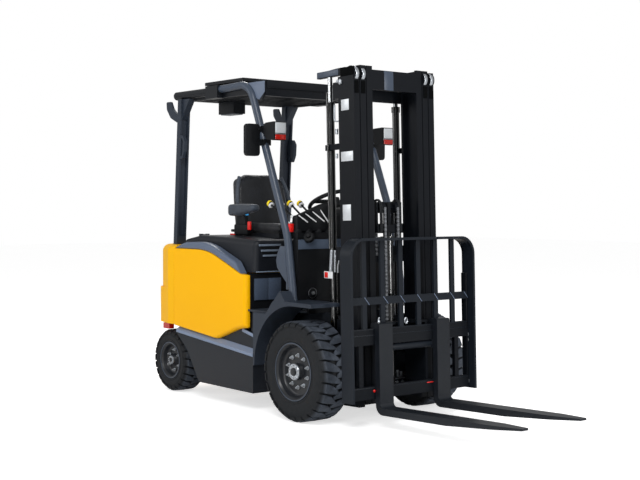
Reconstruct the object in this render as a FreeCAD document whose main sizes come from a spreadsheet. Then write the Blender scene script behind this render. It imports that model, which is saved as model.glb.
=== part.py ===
import FreeCAD, Part
import math
import os
import re
import Sketcher

# Electric counterbalance forklift with a three-stage mast, in millimetres.
# X points forward to the fork tips, Y to the operator's left, Z up from the ground.
# Sizes along X are measured from the front axle; every node is then moved by frontAxleX.

doc = FreeCAD.newDocument("electric_forklift")
Vec = FreeCAD.Vector

# Driving sizes: name, value, what it is
SIZES = (
    ("frontAxleX", 145, "front axle ahead of the part's origin"),
    ("wheelBase", 1508, "front axle to rear axle"),
    ("runGap", 0.05, "radial clearance of a running fit"),
    ("restGap", 0.3, "clearance between pieces that only lie on each other"),
    ("frontTyreDia", 618, "front tyre over the lugs"),
    ("frontTyreWide", 228, "front tyre section width"),
    ("frontTyreOuter", 591, "outer face of a front tyre from the middle"),
    ("frontRimDia", 364, "front rim over its flange"),
    ("rearTyreDia", 440, "rear tyre over the lugs"),
    ("rearTyreWide", 176, "rear tyre section width"),
    ("rearTyreOuter", 536, "outer face of a rear tyre from the middle"),
    ("rearRimDia", 266, "rear rim over its flange"),
    ("rimWall", 9, "plate thickness of the pressed rims"),
    ("kingpinY", 300, "steering pin from the middle"),
    ("kingpinRad", 18, "radius of the steering pin"),
    ("bodyHalf", 565, "half width over the side covers"),
    ("skirtLowZ", 118, "underside of the chassis skirt"),
    ("skirtFrontX", -448, "front end of the chassis skirt"),
    ("skirtFrontZ", 397, "top of the skirt's bevel at its front end"),
    ("skirtRearX", -1372, "rear end of the chassis skirt"),
    ("skirtRearZ", 479, "top of the skirt's bevel at its rear end"),
    ("skirtWall", 55, "thickness of the chassis side walls"),
    ("bevelDrop", 46, "height of the bevel along the skirt"),
    ("bevelInset", 25, "width of the bevel along the skirt"),
    ("floorZ", 650, "top of the footwell floor"),
    ("seatBoxX", -531, "front of the seat box"),
    ("coverThick", 36, "depth of a side cover"),
    ("beltFrontZ", 872, "top of a side cover at its front end"),
    ("beltRearZ", 1017, "top of a side cover at its rear end"),
    ("trimWide", 60, "width of the sloped trim above a side cover"),
    ("trimRise", 46, "rise of the sloped trim above a side cover"),
    ("hoodFrontX", -512, "front face of the hood"),
    ("hoodBackX", -1385, "rear face of the hood"),
    ("hoodInset", 67, "hood's side in from the side covers' outer face"),
    ("hoodLowZ", 884, "lower edge of the hood"),
    ("hoodWall", 18, "wall of the hood"),
    ("hingeX", -1396, "hood hinge line"),
    ("hingeZ", 1100, "height of the hood hinge line"),
    ("hingeRad", 7, "radius of the hood hinge pin"),
    ("ballastFrontX", -1402, "front face of the counterweight"),
    ("ballastRearX", -1836, "rear face of the counterweight"),
    ("ballastLowZ", 486, "underside of the counterweight over the rear wheels"),
    ("ballastStepZ", 735, "step round the counterweight's rear"),
    ("ballastStep", 20, "depth of that step"),
    ("ballastTopZ", 1040, "top of the counterweight"),
    ("ballastRound", 50, "rounding of the counterweight's top edge"),
    ("tongueHalf", 88, "half width of the counterweight's keel between the rear wheels"),
    ("tongueLowZ", 278, "underside of that keel"),
    ("towPinRad", 15, "radius of the towing pin's bore"),
    ("guardHalf", 455, "overhead guard's legs from the middle"),
    ("guardTopZ", 2116, "top of the overhead guard"),
    ("guardTube", 50, "diameter of the guard's front tubes"),
    ("guardFrontX", -478, "front edge of the overhead guard"),
    ("guardRearX", -1530, "rear edge of the overhead guard"),
    ("legDeep", 45, "depth of a rear leg's section"),
    ("legWide", 76, "width of a rear leg's section"),
    ("mastLean", 1.9, "mast leans back by this angle at rest"),
    ("channelFrontX", 315, "front of the mast channels"),
    ("channelDeep", 146, "depth of the mast channels"),
    ("channelWide", 46, "flange width of the mast channels"),
    ("channelWeb", 13, "web thickness of the mast channels"),
    ("channelFlange", 17, "flange thickness of the mast channels"),
    ("mastHalf", 331, "half width of the outer mast"),
    ("stageGap", 5.5, "side clearance between mast stages"),
    ("mastFootZ", 97, "lower end of the mast channels"),
    ("outerTopZ", 2092, "top of the outer mast"),
    ("innerTopZ", 2152, "top of the middle and inner mast"),
    ("liftY", 272, "lift cylinders from the middle"),
    ("liftX", 22, "lift cylinders ahead of the front axle"),
    ("liftRad", 23, "outer radius of the lift cylinders"),
    ("liftRodRad", 15, "radius of the lift rods"),
    ("ramX", 222, "free-lift cylinder ahead of the front axle"),
    ("ramRad", 38, "outer radius of the free-lift cylinder"),
    ("ramRodRad", 26, "radius of the free-lift rod"),
    ("pulleyRad", 36, "radius of the chain pulleys"),
    ("forkFaceX", 461, "front face of the fork shanks"),
    ("forkThick", 40, "thickness of the forks"),
    ("forkWide", 108, "width of a fork"),
    ("forkLong", 1078, "length of the fork blades"),
    ("forkY", 238, "forks from the middle"),
    ("forkLowZ", 63, "underside of the forks"),
    ("barTopZ", 575, "top of the upper fork bar"),
    ("barHigh", 97, "height of the upper fork bar"),
    ("lowBarZ", 157, "underside of the lower fork bar"),
    ("lowBarHigh", 75, "height of the lower fork bar"),
    ("barThick", 32, "thickness of the fork bars"),
    ("carriageHalf", 497, "half length of the fork bars"),
    ("restHalf", 513, "half width of the load backrest"),
    ("restTopZ", 1112, "top of the load backrest"),
    ("restDeep", 98, "depth of the backrest's flat bar"),
    ("restBar", 16, "thickness of the backrest's flat bar"),
    ("seatHalf", 242, "half width of the seat"),
    ("seatFrontX", -620, "front of the seat cushion"),
    ("seatDeep", 460, "depth of the seat cushion"),
    ("seatTopZ", 1548, "top of the seat back"),
    ("knobX", -494, "lever knobs ahead of the front axle"),
    ("knobZ", 1330, "height of the lever knobs"),
    ("wheelRingX", -332, "steering wheel ahead of the front axle"),
    ("wheelRingZ", 1345, "height of the steering wheel"),
    ("wheelRingRad", 175, "radius of the steering wheel"),
    ("wheelRingLean", 25, "lean of the steering wheel"),
    ("bushGap", 1.8, "play of the rubber-bushed rod eyes of the tilt cylinders"),
    ("tiltY", 150, "tilt cylinders from the middle"),
    ("tiltZ", 545, "height of the tilt cylinders' pins"),
    ("tiltRearX", -338, "tilt cylinders' rear pins"),
    ("tiltFrontX", 88, "tilt cylinders' front pins on the upright mast"),
    ("tiltRodRad", 15, "radius of the tilt cylinders' rods"),
    ("lampY", 455, "headlamps from the middle"),
    ("lampDrop", 313, "headlamps below the top of the guard"),
    ("mirrorDrop", 397, "mirror clamps below the top of the guard"),
)
sheet = doc.addObject("Spreadsheet::Sheet", "Sizes")
for row, (name, value, note) in enumerate(SIZES, start=1):
    sheet.set(f"A{row}", name)
    sheet.set(f"B{row}", str(value))
    sheet.setAlias(f"B{row}", name)
    sheet.set(f"C{row}", note)
doc.recompute()
NAMES = {name for name, value, note in SIZES}


def bound(text):
    """Turn a size written in plain names into an expression on the sheet."""
    return re.sub(r"[A-Za-z]\w*", lambda m: "Sizes." + m[0] if m[0] in NAMES else m[0], str(text))


def size(text):
    """The present value of a size written in plain names."""
    return float(sheet.evalExpression(bound(text)))


def bind(thing, **fields):
    """Bind an object's properties to sizes; a dot in a property's path is written as __."""
    for path, text in fields.items():
        thing.setExpression(path.replace("__", "."), bound(text))
    return thing


def block(name, x, y, z):
    """A box between two sizes along each axis."""
    box = doc.addObject("Part::Box", name)
    bind(box, Length=f"({x[1]}) - ({x[0]})", Width=f"({y[1]}) - ({y[0]})", Height=f"({z[1]}) - ({z[0]})")
    bind(box, Placement__Base__x=x[0], Placement__Base__y=y[0], Placement__Base__z=z[0])
    return box


TURNS = {"x": (Vec(0, 1, 0), 90), "y": (Vec(1, 0, 0), -90), "z": (Vec(0, 0, 1), 0)}


def rod(name, axis, start, radius, length, tip=None):
    """A round bar or, with a tip radius, a cone, along one axis from its start point."""
    kind = "Part::Cylinder" if tip is None else "Part::Cone"
    bar = doc.addObject(kind, name)
    turn_axis, angle = TURNS[axis]
    bar.Placement = FreeCAD.Placement(Vec(0, 0, 0), FreeCAD.Rotation(turn_axis, angle))
    if tip is None:
        bind(bar, Radius=radius)
    else:
        bind(bar, Radius1=radius, Radius2=tip)
    bind(bar, Height=length)
    bind(bar, Placement__Base__x=start[0], Placement__Base__y=start[1], Placement__Base__z=start[2])
    return bar


def fuse(name, *members):
    joined = doc.addObject("Part::MultiFuse", name)
    joined.Shapes = list(members)
    return joined


def cut(name, base, *tools):
    trimmed = doc.addObject("Part::Cut", name)
    trimmed.Base = base
    trimmed.Tool = tools[0] if len(tools) == 1 else fuse(name + "_tools", *tools)
    return trimmed


def across(thing):
    """The same piece on the other side of the truck."""
    twin = doc.addObject("Part::Mirroring", thing.Name + "_twin")
    twin.Source = thing
    twin.Base = Vec(0, 0, 0)
    twin.Normal = Vec(0, 1, 0)
    return twin


def together(name, *members):
    """Separate solids that share one node."""
    group = doc.addObject("Part::Compound", name)
    group.Links = list(members)
    return group


def plane_of(body, role):
    return next(f for f in body.Origin.OriginFeatures if f.Role == role)


def draw(body, name, plane, corners, level="0", closed=True):
    """An outline on a plane of the body: each corner is (across, up) or (across, up, radius)."""
    sketch = body.newObject("Sketcher::SketchObject", name)
    sketch.AttachmentSupport = [(plane_of(body, plane + "_Plane"), "")]
    sketch.MapMode = "FlatFace"
    along = f"-({level})" if plane == "XZ" else level
    sketch.setExpression("AttachmentOffset.Base.z", bound(along))
    points = [Vec(size(c[0]), size(c[1]), 0) for c in corners]
    radii = [c[2] if len(c) > 2 else None for c in corners]
    count = len(corners)
    starts, ends, arcs = [], [], {}
    for i, point in enumerate(points):
        if radii[i] is None:
            ends.append(point)
            starts.append(point)
            continue
        before = (points[i - 1] - point).normalize()
        after = (points[(i + 1) % count] - point).normalize()
        radius = size(radii[i])
        half = before.getAngle(after) / 2
        reach = radius / math.tan(half)
        first, last = point + before * reach, point + after * reach
        centre = point + (before + after).normalize() * (radius / math.sin(half))
        ends.append(first)
        starts.append(last)
        left_turn = before.cross(after).z < 0
        low, high = (first, last) if left_turn else (last, first)
        angles = [math.atan2(p.y - centre.y, p.x - centre.x) for p in (low, high)]
        arcs[i] = (Part.ArcOfCircle(Part.Circle(centre, Vec(0, 0, 1), radius), *angles), left_turn, radius)
    lines = []
    for i in range(count if closed else count - 1):
        lines.append(sketch.addGeometry(Part.LineSegment(starts[i], ends[(i + 1) % count]), False))
    for i, corner in enumerate(corners):
        incoming, outgoing = lines[i - 1], lines[i % len(lines)]
        if not closed and i in (0, count - 1):
            pin = (lines[0], 1) if i == 0 else (lines[-1], 2)
        elif i in arcs:
            curve, left_turn, radius = arcs[i]
            arc = sketch.addGeometry(curve, False)
            near, far = (1, 2) if left_turn else (2, 1)
            mark = sketch.addGeometry(Part.Point(points[i]), True)
            sketch.addConstraint(Sketcher.Constraint("Tangent", incoming, 2, arc, near))
            sketch.addConstraint(Sketcher.Constraint("Tangent", arc, far, outgoing, 1))
            sketch.addConstraint(Sketcher.Constraint("PointOnObject", mark, 1, incoming))
            sketch.addConstraint(Sketcher.Constraint("PointOnObject", mark, 1, outgoing))
            held = sketch.addConstraint(Sketcher.Constraint("Radius", arc, radius))
            sketch.setExpression(f"Constraints[{held}]", bound(radii[i]))
            pin = (mark, 1)
        else:
            sketch.addConstraint(Sketcher.Constraint("Coincident", incoming, 2, outgoing, 1))
            pin = (outgoing, 1)
        for kind, text, value in (("DistanceX", corner[0], points[i].x),
            ("DistanceY", corner[1], points[i].y)):
            held = sketch.addConstraint(Sketcher.Constraint(kind, -1, 1, pin[0], pin[1], value))
            sketch.setExpression(f"Constraints[{held}]", bound(text))
    return sketch


def run(body, name, plane, corners, level="0"):
    """An open line of straights and tangent arcs on a plane of the body."""
    return draw(body, name, plane, corners, level, closed=False)


def pad(body, name, plane, corners, low, high):
    """Extrude an outline between two levels along the axis square to its plane."""
    sketch = draw(body, name + "_outline", plane, corners, low)
    grown = body.newObject("PartDesign::Pad", name)
    grown.Profile = sketch
    grown.Reversed = plane == "XZ"
    grown.setExpression("Length", bound(f"({high}) - ({low})"))
    body.Tip = grown
    return grown


def pocket(body, name, plane, corners, low, high):
    """Cut an outline away between two levels along the axis square to its plane."""
    sketch = draw(body, name + "_outline", plane, corners, low)
    taken = body.newObject("PartDesign::Pocket", name)
    taken.Profile = sketch
    taken.Reversed = plane != "XZ"
    taken.setExpression("Length", bound(f"({high}) - ({low})"))
    body.Tip = taken
    return taken


def plate(name, plane, corners, low, high):
    """A body that is one extruded outline."""
    body = doc.addObject("PartDesign::Body", name)
    pad(body, name + "_pad", plane, corners, low, high)
    return body


def turned(name, corners):
    """A body turned about the Y axis: each corner is (along Y, radius)."""
    body = doc.addObject("PartDesign::Body", name)
    sketch = draw(body, name + "_section", "YZ", corners)
    spun = body.newObject("PartDesign::Revolution", name + "_turn")
    spun.Profile = sketch
    spun.ReferenceAxis = (sketch, ["H_Axis"])
    spun.Angle = 360
    body.Tip = spun
    return body


def soften(body, name, radius, wanted):
    """Round the edges of the body's last feature for which wanted(edge) is true."""
    doc.recompute()
    base = body.Tip
    chosen = [f"Edge{i}" for i, edge in enumerate(base.Shape.Edges, start=1) if wanted(edge)]
    rounded = body.newObject("PartDesign::Fillet", name)
    rounded.Base = (base, chosen)
    rounded.setExpression("Radius", bound(radius))
    body.Tip = rounded
    return rounded


def runs(edge, axis):
    """True for a straight edge along X, Y or Z."""
    if not isinstance(edge.Curve, (Part.Line, Part.LineSegment)):
        return False
    return abs(getattr(edge.tangentAt(edge.FirstParameter), axis)) > 0.999


nodes = {}


def node(label, thing):
    """A finished piece that stands on the truck."""
    nodes[label] = thing
    thing.Label = label
    return thing


REAR = "(-wheelBase)"

# Chassis: welded side skirts with two bevels, a battery tub between them and front rails to the axle
chassis = doc.addObject("PartDesign::Body", "chassis")
pad(chassis, "skirt", "XZ", (
    ("skirtFrontX", "skirtLowZ"), ("skirtFrontX", "skirtFrontZ"), ("skirtRearX", "skirtRearZ"),
    ("skirtRearX", "skirtRearZ - bevelDrop"), ("-1235", "330", "110"), ("-1081", "skirtLowZ")),
    "-bodyHalf", "bodyHalf")
doc.recompute()
skirt = chassis.Tip
ridge = [f"Edge{i}" for i, e in enumerate(skirt.Shape.Edges, start=1)
         if abs(abs(e.CenterOfMass.y) - size("bodyHalf")) < 1 and e.CenterOfMass.z > size("skirtFrontZ")
         and e.Length > size("wheelBase") / 3]
bevel = chassis.newObject("PartDesign::Chamfer", "skirt_bevel")
bevel.Base = (skirt, ridge)
bevel.ChamferType = "Two distances"
bind(bevel, Size="bevelDrop", Size2="bevelInset")
chassis.Tip = bevel
pad(chassis, "sill", "XZ", (
    ("skirtFrontX", "330"), ("skirtFrontX", "skirtFrontZ + 84"), ("-640", "skirtFrontZ + 122"),
    ("-1000", "skirtFrontZ + 60"), ("-1000", "330")),
    "-(bodyHalf - coverThick - restGap)", "bodyHalf - coverThick - restGap")
pad(chassis, "wall", "XZ", (
    ("skirtFrontX", "360"), ("skirtFrontX", "floorZ - 12"), ("seatBoxX + 2", "floorZ - 12"),
    ("seatBoxX + 2", "360")),
    "-(bodyHalf - 46)", "bodyHalf - 46")
pocket(chassis, "tub", "XY", (
    ("skirtFrontX - 22", "-(bodyHalf - skirtWall - 30)"), ("skirtFrontX - 22", "bodyHalf - skirtWall - 30"),
    ("-1450", "bodyHalf - skirtWall - 30"), ("-1450", "-(bodyHalf - skirtWall - 30)")),
    "skirtLowZ + 24", "floorZ + 200")
pad(chassis, "rails", "XZ", (
    ("skirtFrontX - 12", "180"), ("skirtFrontX - 12", "floorZ - 12"), ("-60", "floorZ - 12"),
        ("60", "560", "60"),
    ("60", "frontTyreDia / 2 + 92"),
    ("-130", "frontTyreDia / 2 + 92", "30"), ("-130", "180")), "-214", "214")
pocket(chassis, "rail_gap", "XY", (
    ("-390", "-190"), ("-390", "190"), ("100", "190"), ("100", "-190")), "100", "floorZ + 200")
for offset_name, low, high in (("outer", "tiltY + 16", "tiltY + 26"),
    ("inner", "tiltY - 26", "tiltY - 16")):
    for side_name, near, far in (("right", f"-({high})", f"-({low})"), ("left", low, high)):
        pad(chassis, f"tilt_lug_{offset_name}_{side_name}", "XZ", (
            ("-395", "tiltZ - 34"), ("-395", "tiltZ + 34"), ("tiltRearX + 20", "tiltZ + 20", "14"),
            ("tiltRearX + 20", "tiltZ - 20", "14")), near, far)
tilt_pins = [rod(f"tilt_rear_pin_{n}", "y", ("tiltRearX", f"{y} - 28", "tiltZ"), "12", "56")
             for n, y in (("right", "-tiltY"), ("left", "tiltY"))]
node("chassis_frame", fuse("chassis_joined", chassis, *tilt_pins))

# Battery: the truck's heaviest block after the counterweight, low in the tub
battery = plate("battery", "XZ", (
    ("seatBoxX - 40", "skirtLowZ + 24 + restGap"), ("seatBoxX - 40", "floorZ + 180"),
        ("-1090", "floorZ + 180"),
    ("-1090", "skirtLowZ + 24 + restGap")), "-((bodyHalf - hoodInset) - 45)", "(bodyHalf - hoodInset) - 45")
node("battery_block", battery)

# Counterweight: one iron casting with rounded rear corners, a step round the back and a keel over the axle
ballast = doc.addObject("PartDesign::Body", "ballast")
SECTIONS = (
    # name, inset of the rear, low level, high level
    ("lower", "0", "ballastLowZ", "ballastStepZ"),
    ("upper", "ballastStep", "ballastStepZ", "ballastTopZ"),
)
for part_name, inset, low, high in SECTIONS:
    half_plan = (
        ("ballastFrontX", "bodyHalf"), ("-1480", "bodyHalf"),
        (f"ballastRearX + 161 + {inset}", f"bodyHalf - 45 - {inset} / 2", "170"),
        (f"ballastRearX + {inset}", f"bodyHalf - 265 - {inset} / 2", "190"))
    mirrored = tuple((c[0], f"-({c[1]})") + c[2:] for c in reversed(half_plan))
    pad(ballast, part_name, "XY", half_plan + mirrored, low, high)
pad(ballast, "keel", "XZ", (
    ("ballastRearX + 60", "ballastLowZ + 20"), ("ballastRearX + 60", "tongueLowZ + 110", "40"),
    (f"{REAR} - 90", "tongueLowZ"), (f"{REAR} + 80", "tongueLowZ"), (f"{REAR} + 80", "ballastLowZ + 20")),
    "-tongueHalf", "tongueHalf")
pocket(ballast, "tow_slot", "XY", (
    ("ballastRearX - 10", "-55"), ("ballastRearX - 10", "55"), ("ballastRearX + 110", "55", "20"),
    ("ballastRearX + 110", "-55", "20")), "560", "625")
soften(ballast, "top_round", "ballastRound", lambda e: e.CenterOfMass.z > size("ballastTopZ") - 1
       and e.CenterOfMass.x < size("ballastFrontX") - 5)
tow_bore = rod("tow_bore", "z", ("ballastRearX + 40", "0", "ballastLowZ - 20"), "towPinRad", "220")
node("counterweight", cut("ballast_bored", ballast, tow_bore))

# Side covers: painted panels from the counterweight to the seat box, with a sloped trim above each
cover = plate("cover", "XZ", (
    ("ballastFrontX + 2", "ballastLowZ - 7"), ("-872", "431"), ("-640", "512", "30"),
        ("seatBoxX", "530", "12"),
    ("seatBoxX", "beltFrontZ - 3"), ("-600", "beltFrontZ + 3", "30"), ("-986", "beltRearZ", "700"),
    ("ballastFrontX + 2", "beltRearZ")), "-bodyHalf", "-(bodyHalf - coverThick)")
soften(cover, "cover_front", "30", lambda e: runs(e, "z") and e.CenterOfMass.x > size("seatBoxX") - 1
       and e.CenterOfMass.y < -size("bodyHalf") + 1)
soften(cover, "cover_edge", "11", lambda e: e.CenterOfMass.y < -size("bodyHalf") + 1
       and e.CenterOfMass.x > size("ballastFrontX") + 4)
node("side_covers", together("side_cover_pair", cover, across(cover)))

trim = plate("trim", "XZ", (
    ("-600", "beltFrontZ + 3.3"), ("-664", "beltFrontZ + 80", "40"),
        ("-1000", "beltRearZ + trimRise + 10", "640"),
    ("-1250", "beltRearZ + trimRise"), ("ballastFrontX + 8", "beltRearZ + restGap"),
    ("-986", "beltRearZ + restGap", "700")),
    "-(bodyHalf - 2)", "-(bodyHalf - trimWide)")
soften(trim, "trim_edge", "16", lambda e: e.CenterOfMass.y < -size("bodyHalf") + 3
       and e.CenterOfMass.z > size("beltFrontZ") + 30 and e.CenterOfMass.x > -1100 and e.Length > 60)
node("belt_trims", together("trim_pair", trim, across(trim)))

# Front mudguards: a quarter-round arch over each drive wheel that rises into the cowl
fender_outline = (
    ("skirtFrontX + restGap", "300"), ("skirtFrontX + restGap", "floorZ - 12"), ("-312", "floorZ - 12"),
    ("-235", "727", "40"), ("150", "727", "12"),
    ("150", "703"), ("-434", "703", "394"), ("-434", "300"))
fender = plate("fender", "XZ", fender_outline, "-bodyHalf", "-345")
pad(fender, "fender_peak", "XZ", (
    ("-312", "floorZ - 12"), ("-164", "791", "8"), ("-112", "727", "30"), ("20", "722"), ("-200", "700")),
    "-bodyHalf", "-(guardHalf + 29)")
node("fenders", together("fender_pair", fender, across(fender)))

# Footwell floor, seat box front with its two vent panels, and the cowl ahead of the driver's knees
floor = plate("footwell", "XY", (
    ("seatBoxX + restGap", "-545"), ("-316", "-545"), ("-316", "-343"), ("-178", "-343"), ("-178", "343"),
    ("-316", "343"), ("-316", "545"), ("seatBoxX + restGap", "545")), "floorZ - 12", "floorZ")
node("floor_plate", floor)

bulkhead = plate("bulkhead", "YZ", (
    ("-(bodyHalf - 39)", "floorZ - 12"), ("-(bodyHalf - 39)", "hoodLowZ - 6"),
        ("bodyHalf - 39", "hoodLowZ - 6"),
    ("bodyHalf - 39", "floorZ - 12")), "seatBoxX - 16", "seatBoxX")
for side_name, near, far in (("right", "-502", "-285"), ("left", "285", "502")):
    pad(bulkhead, "vent_" + side_name, "YZ", (
        (near, "704", "14"), (near, "846", "14"), (far, "846", "14"), (far, "704", "14")), "seatBoxX - 2",
            "seatBoxX + 6")
node("seat_box_front", bulkhead)

cowl = plate("cowl", "XZ", (
    ("-156", "floorZ - 12"), ("-156", "1110", "14"), ("-206", "1110", "20"), ("-268", "960", "90"),
    ("-168", "790", "60"), ("-177", "floorZ - 12")), "-(guardHalf - 25.3)", "guardHalf - 25.3")
pocket(cowl, "cowl_corner", "XY", (
    ("-300", "-600"), ("-300", "-343"), ("-100", "-343"), ("-100", "-600")), "floorZ - 20", "728")
pocket(cowl, "cowl_corner_left", "XY", (
    ("-300", "343"), ("-300", "600"), ("-100", "600"), ("-100", "343")), "floorZ - 20", "728")
node("cowl", cowl)

# Drive axle: final drive case in the middle, tubes to the hubs, saddles under the front rails
AXLE_Z = "(frontTyreDia / 2)"
AXLE_PIECES = (
    # name, start across, radius, length across
    ("axle_tube", "-350", "78", "700"),
    ("drive_case", "-105", "132", "210"),
    ("case_rim", "-12", "146", "24"),
    ("spindles", "-(frontTyreOuter - 24)", "30", "2 * (frontTyreOuter - 24)"),
)
axle_parts = [rod(n, "y", ("0", start, AXLE_Z), rad, wide) for n, start, rad, wide in AXLE_PIECES]
for side_name, low, high in (("right", "-214", "-190"), ("left", "190", "214")):
    axle_parts.append(block("saddle_" + side_name, ("-55", "55"), (low, high),
                            (AXLE_Z + " + 60", AXLE_Z + " + 92")))
node("drive_axle", fuse("axle_joined", *axle_parts))

# Steering axle: a beam on the counterweight's keel with a fork and a pin at each end
steer_height = "(rearTyreDia / 2)"
steer_parts = [block("beam", (f"{REAR} - 46", f"{REAR} + 46"), ("-250", "250"),
                     (f"{steer_height} - 52", f"{steer_height} + 52")),
               block("beam_pad", (f"{REAR} - 60", f"{REAR} + 60"), ("-80", "80"),
                     (f"{steer_height} + 40", "tongueLowZ"))]
for side_name, sign in (("right", "-"), ("left", "")):
    pin_place = (REAR, f"{sign}kingpinY")
    low_y, high_y = ("-kingpinY", "-240") if sign else ("240", "kingpinY")
    for ear, low in (("upper", f"{steer_height} + 62"), ("lower", f"{steer_height} - 84")):
        steer_parts.append(rod(f"ear_{ear}_{side_name}", "z", (*pin_place, low), "42", "22"))
        steer_parts.append(block(f"web_{ear}_{side_name}", (f"{REAR} - 42", f"{REAR} + 42"),
            (low_y, high_y),
                                 (low, f"{low} + 22")))
    steer_parts.append(block(f"cheek_{side_name}", (f"{REAR} - 42", f"{REAR} + 42"),
                             ("-262", "-240") if sign else ("240", "262"),
                             (f"{steer_height} - 84", f"{steer_height} + 84")))
    steer_parts.append(rod("kingpin_" + side_name, "z", (*pin_place, f"{steer_height} - 90"),
        "kingpinRad", "180"))
node("steer_axle", fuse("steer_axle_joined", *steer_parts))

# Knuckle: a bored boss round the steering pin with the wheel's stub axle
boss = rod("knuckle_boss", "z", (REAR, "-kingpinY", f"{steer_height} - 61.7"), "36", "123.4")
stub = rod("knuckle_stub", "y", (REAR, "-(rearTyreOuter - 22)", steer_height), "22",
           "rearTyreOuter - 22 - kingpinY - 20")
bore = rod("knuckle_bore", "z", (REAR, "-kingpinY", f"{steer_height} - 100"), "kingpinRad + runGap", "200")
knuckle = cut("knuckle", fuse("knuckle_joined", boss, stub), bore)
node("knuckle_right", knuckle)
node("knuckle_left", across(knuckle))

# Wheels: a solid rubber tyre on a deep-dished pressed rim, turning on its spindle
WHEELS = (
    # name, tyre diameter, tyre width, outer face, rim diameter, spindle radius
    ("front", "frontTyreDia", "frontTyreWide", "frontTyreOuter", "frontRimDia", "30"),
    ("rear", "rearTyreDia", "rearTyreWide", "rearTyreOuter", "rearRimDia", "22"),
)
for wheel, dia, wide, outer, rim, spindle in WHEELS:
    face, back = f"-{outer}", f"(-{outer} + {wide})"
    tyre = turned(f"tyre_{wheel}", (
        (f"{face} + 9", f"{rim} / 2 - 11"), (face, f"{rim} / 2 + 30", "60"),
            (f"{face} + 4", f"{dia} / 2 - 22", "12"),
        (f"{face} + 24", f"{dia} / 2 - 1", "10"), (f"{face} + {wide} / 2", f"{dia} / 2"),
        (f"{back} - 24", f"{dia} / 2 - 1", "10"), (f"{back} - 4", f"{dia} / 2 - 22", "12"),
        (back, f"{rim} / 2 + 30", "60"), (f"{back} - 9", f"{rim} / 2 - 11")))
    dish = turned(f"rim_{wheel}", (
        (f"{face} + 4", f"{rim} / 2 - 5"), (f"{face} + 8.5", f"{rim} / 2 - 11.3"),
        (f"{back} - 8.5", f"{rim} / 2 - 11.3"), (f"{back} - 8.5", f"{rim} / 2 - 11.3 - rimWall"),
        (f"{face} + 62", f"{rim} / 2 - 11.3 - rimWall", "16"), (f"{face} + 62", f"{spindle} + 34", "12"),
        (f"{face} + 110", f"{spindle} + 34"), (f"{face} + 110", f"{spindle} + runGap"),
        (f"{face} + 16", f"{spindle} + runGap"), (f"{face} + 16", f"{spindle} + 11"),
            (f"{face} + 46", f"{spindle} + 24"),
        (f"{face} + 50", f"{rim} / 2 - 36", "18"), (f"{face} + 14", f"{rim} / 2 - 11.3 - rimWall - 4"),
        (f"{face} + 4", f"{rim} / 2 - 16")))
    for thing in (tyre, dish):
        bind(thing, Placement__Base__z=f"{dia} / 2", Placement__Base__x="0" if wheel == "front" else REAR)
    node(f"{wheel}_tyre_right", tyre)
    node(f"{wheel}_rim_right", dish)
    node(f"{wheel}_tyre_left", across(tyre))
    node(f"{wheel}_rim_left", across(dish))

# Hood: a moulded cover over the battery, hinged at its back edge, hollow underneath
hood = plate("hood_shell", "XZ", (
    ("hoodBackX", "hoodLowZ"), ("hoodBackX", "1078", "16"), ("-1190", "1112", "160"),
        ("-900", "1108", "400"),
    ("hoodFrontX", "1092", "28"), ("hoodFrontX - 10", "hoodLowZ")), "-(bodyHalf - hoodInset)",
        "(bodyHalf - hoodInset)")
soften(hood, "hood_shoulders", "38", lambda e: e.CenterOfMass.z > size("hoodLowZ") + 176
       and abs(abs(e.CenterOfMass.y) - size("bodyHalf - hoodInset")) < 1)
pocket(hood, "hood_hollow", "XZ", (
    ("hoodBackX + hoodWall", "hoodLowZ - 10"), ("hoodBackX + hoodWall", "1044"),
        ("hoodFrontX - hoodWall", "1044"),
    ("hoodFrontX - hoodWall", "hoodLowZ - 10")), "-((bodyHalf - hoodInset) - hoodWall)",
        "(bodyHalf - hoodInset) - hoodWall")
HINGES = (("right", "-330"), ("left", "290"))
hood_parts = [hood]
ear_tools = []
for side_name, low in HINGES:
    hood_parts.append(block("ear_" + side_name, ("hingeX", "hoodBackX + 70"), (low, f"{low} + 40"),
                            ("hingeZ - 30", "hingeZ - 3")))
    hood_parts.append(rod("eye_" + side_name, "y", ("hingeX", low, "hingeZ"), "hingeRad + 6", "40"))
    ear_tools.append(rod("eye_bore_" + side_name, "y", ("hingeX", f"{low} - 10", "hingeZ"),
        "hingeRad + runGap", "60"))
hood_parts.append(block("seat_bellows", ("seatFrontX - 410", "seatFrontX - 40"),
    ("-(seatHalf - 40)", "seatHalf - 40"),
                        ("1090", "1129.7")))
hood_body = cut("hood_bored", fuse("hood_joined", *hood_parts), *ear_tools)
node("hood", hood_body)

# Hood hinges: a pin in two upright plates on the counterweight for each ear
hinge_parts = []
for side_name, low in HINGES:
    for edge_name, offset in (("inner", "-13"), ("outer", "41")):
        hinge_parts.append(block(f"post_{side_name}_{edge_name}", ("hingeX - 26", "hingeX + 9"),
                                 (f"{low} + {offset}", f"{low} + {offset} + 12"),
                                     ("ballastTopZ", "hingeZ + 14")))
    hinge_parts.append(rod("pin_" + side_name, "y", ("hingeX", f"{low} - 16", "hingeZ"), "hingeRad", "72"))
node("hood_hinges", fuse("hinges_joined", *hinge_parts))

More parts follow.
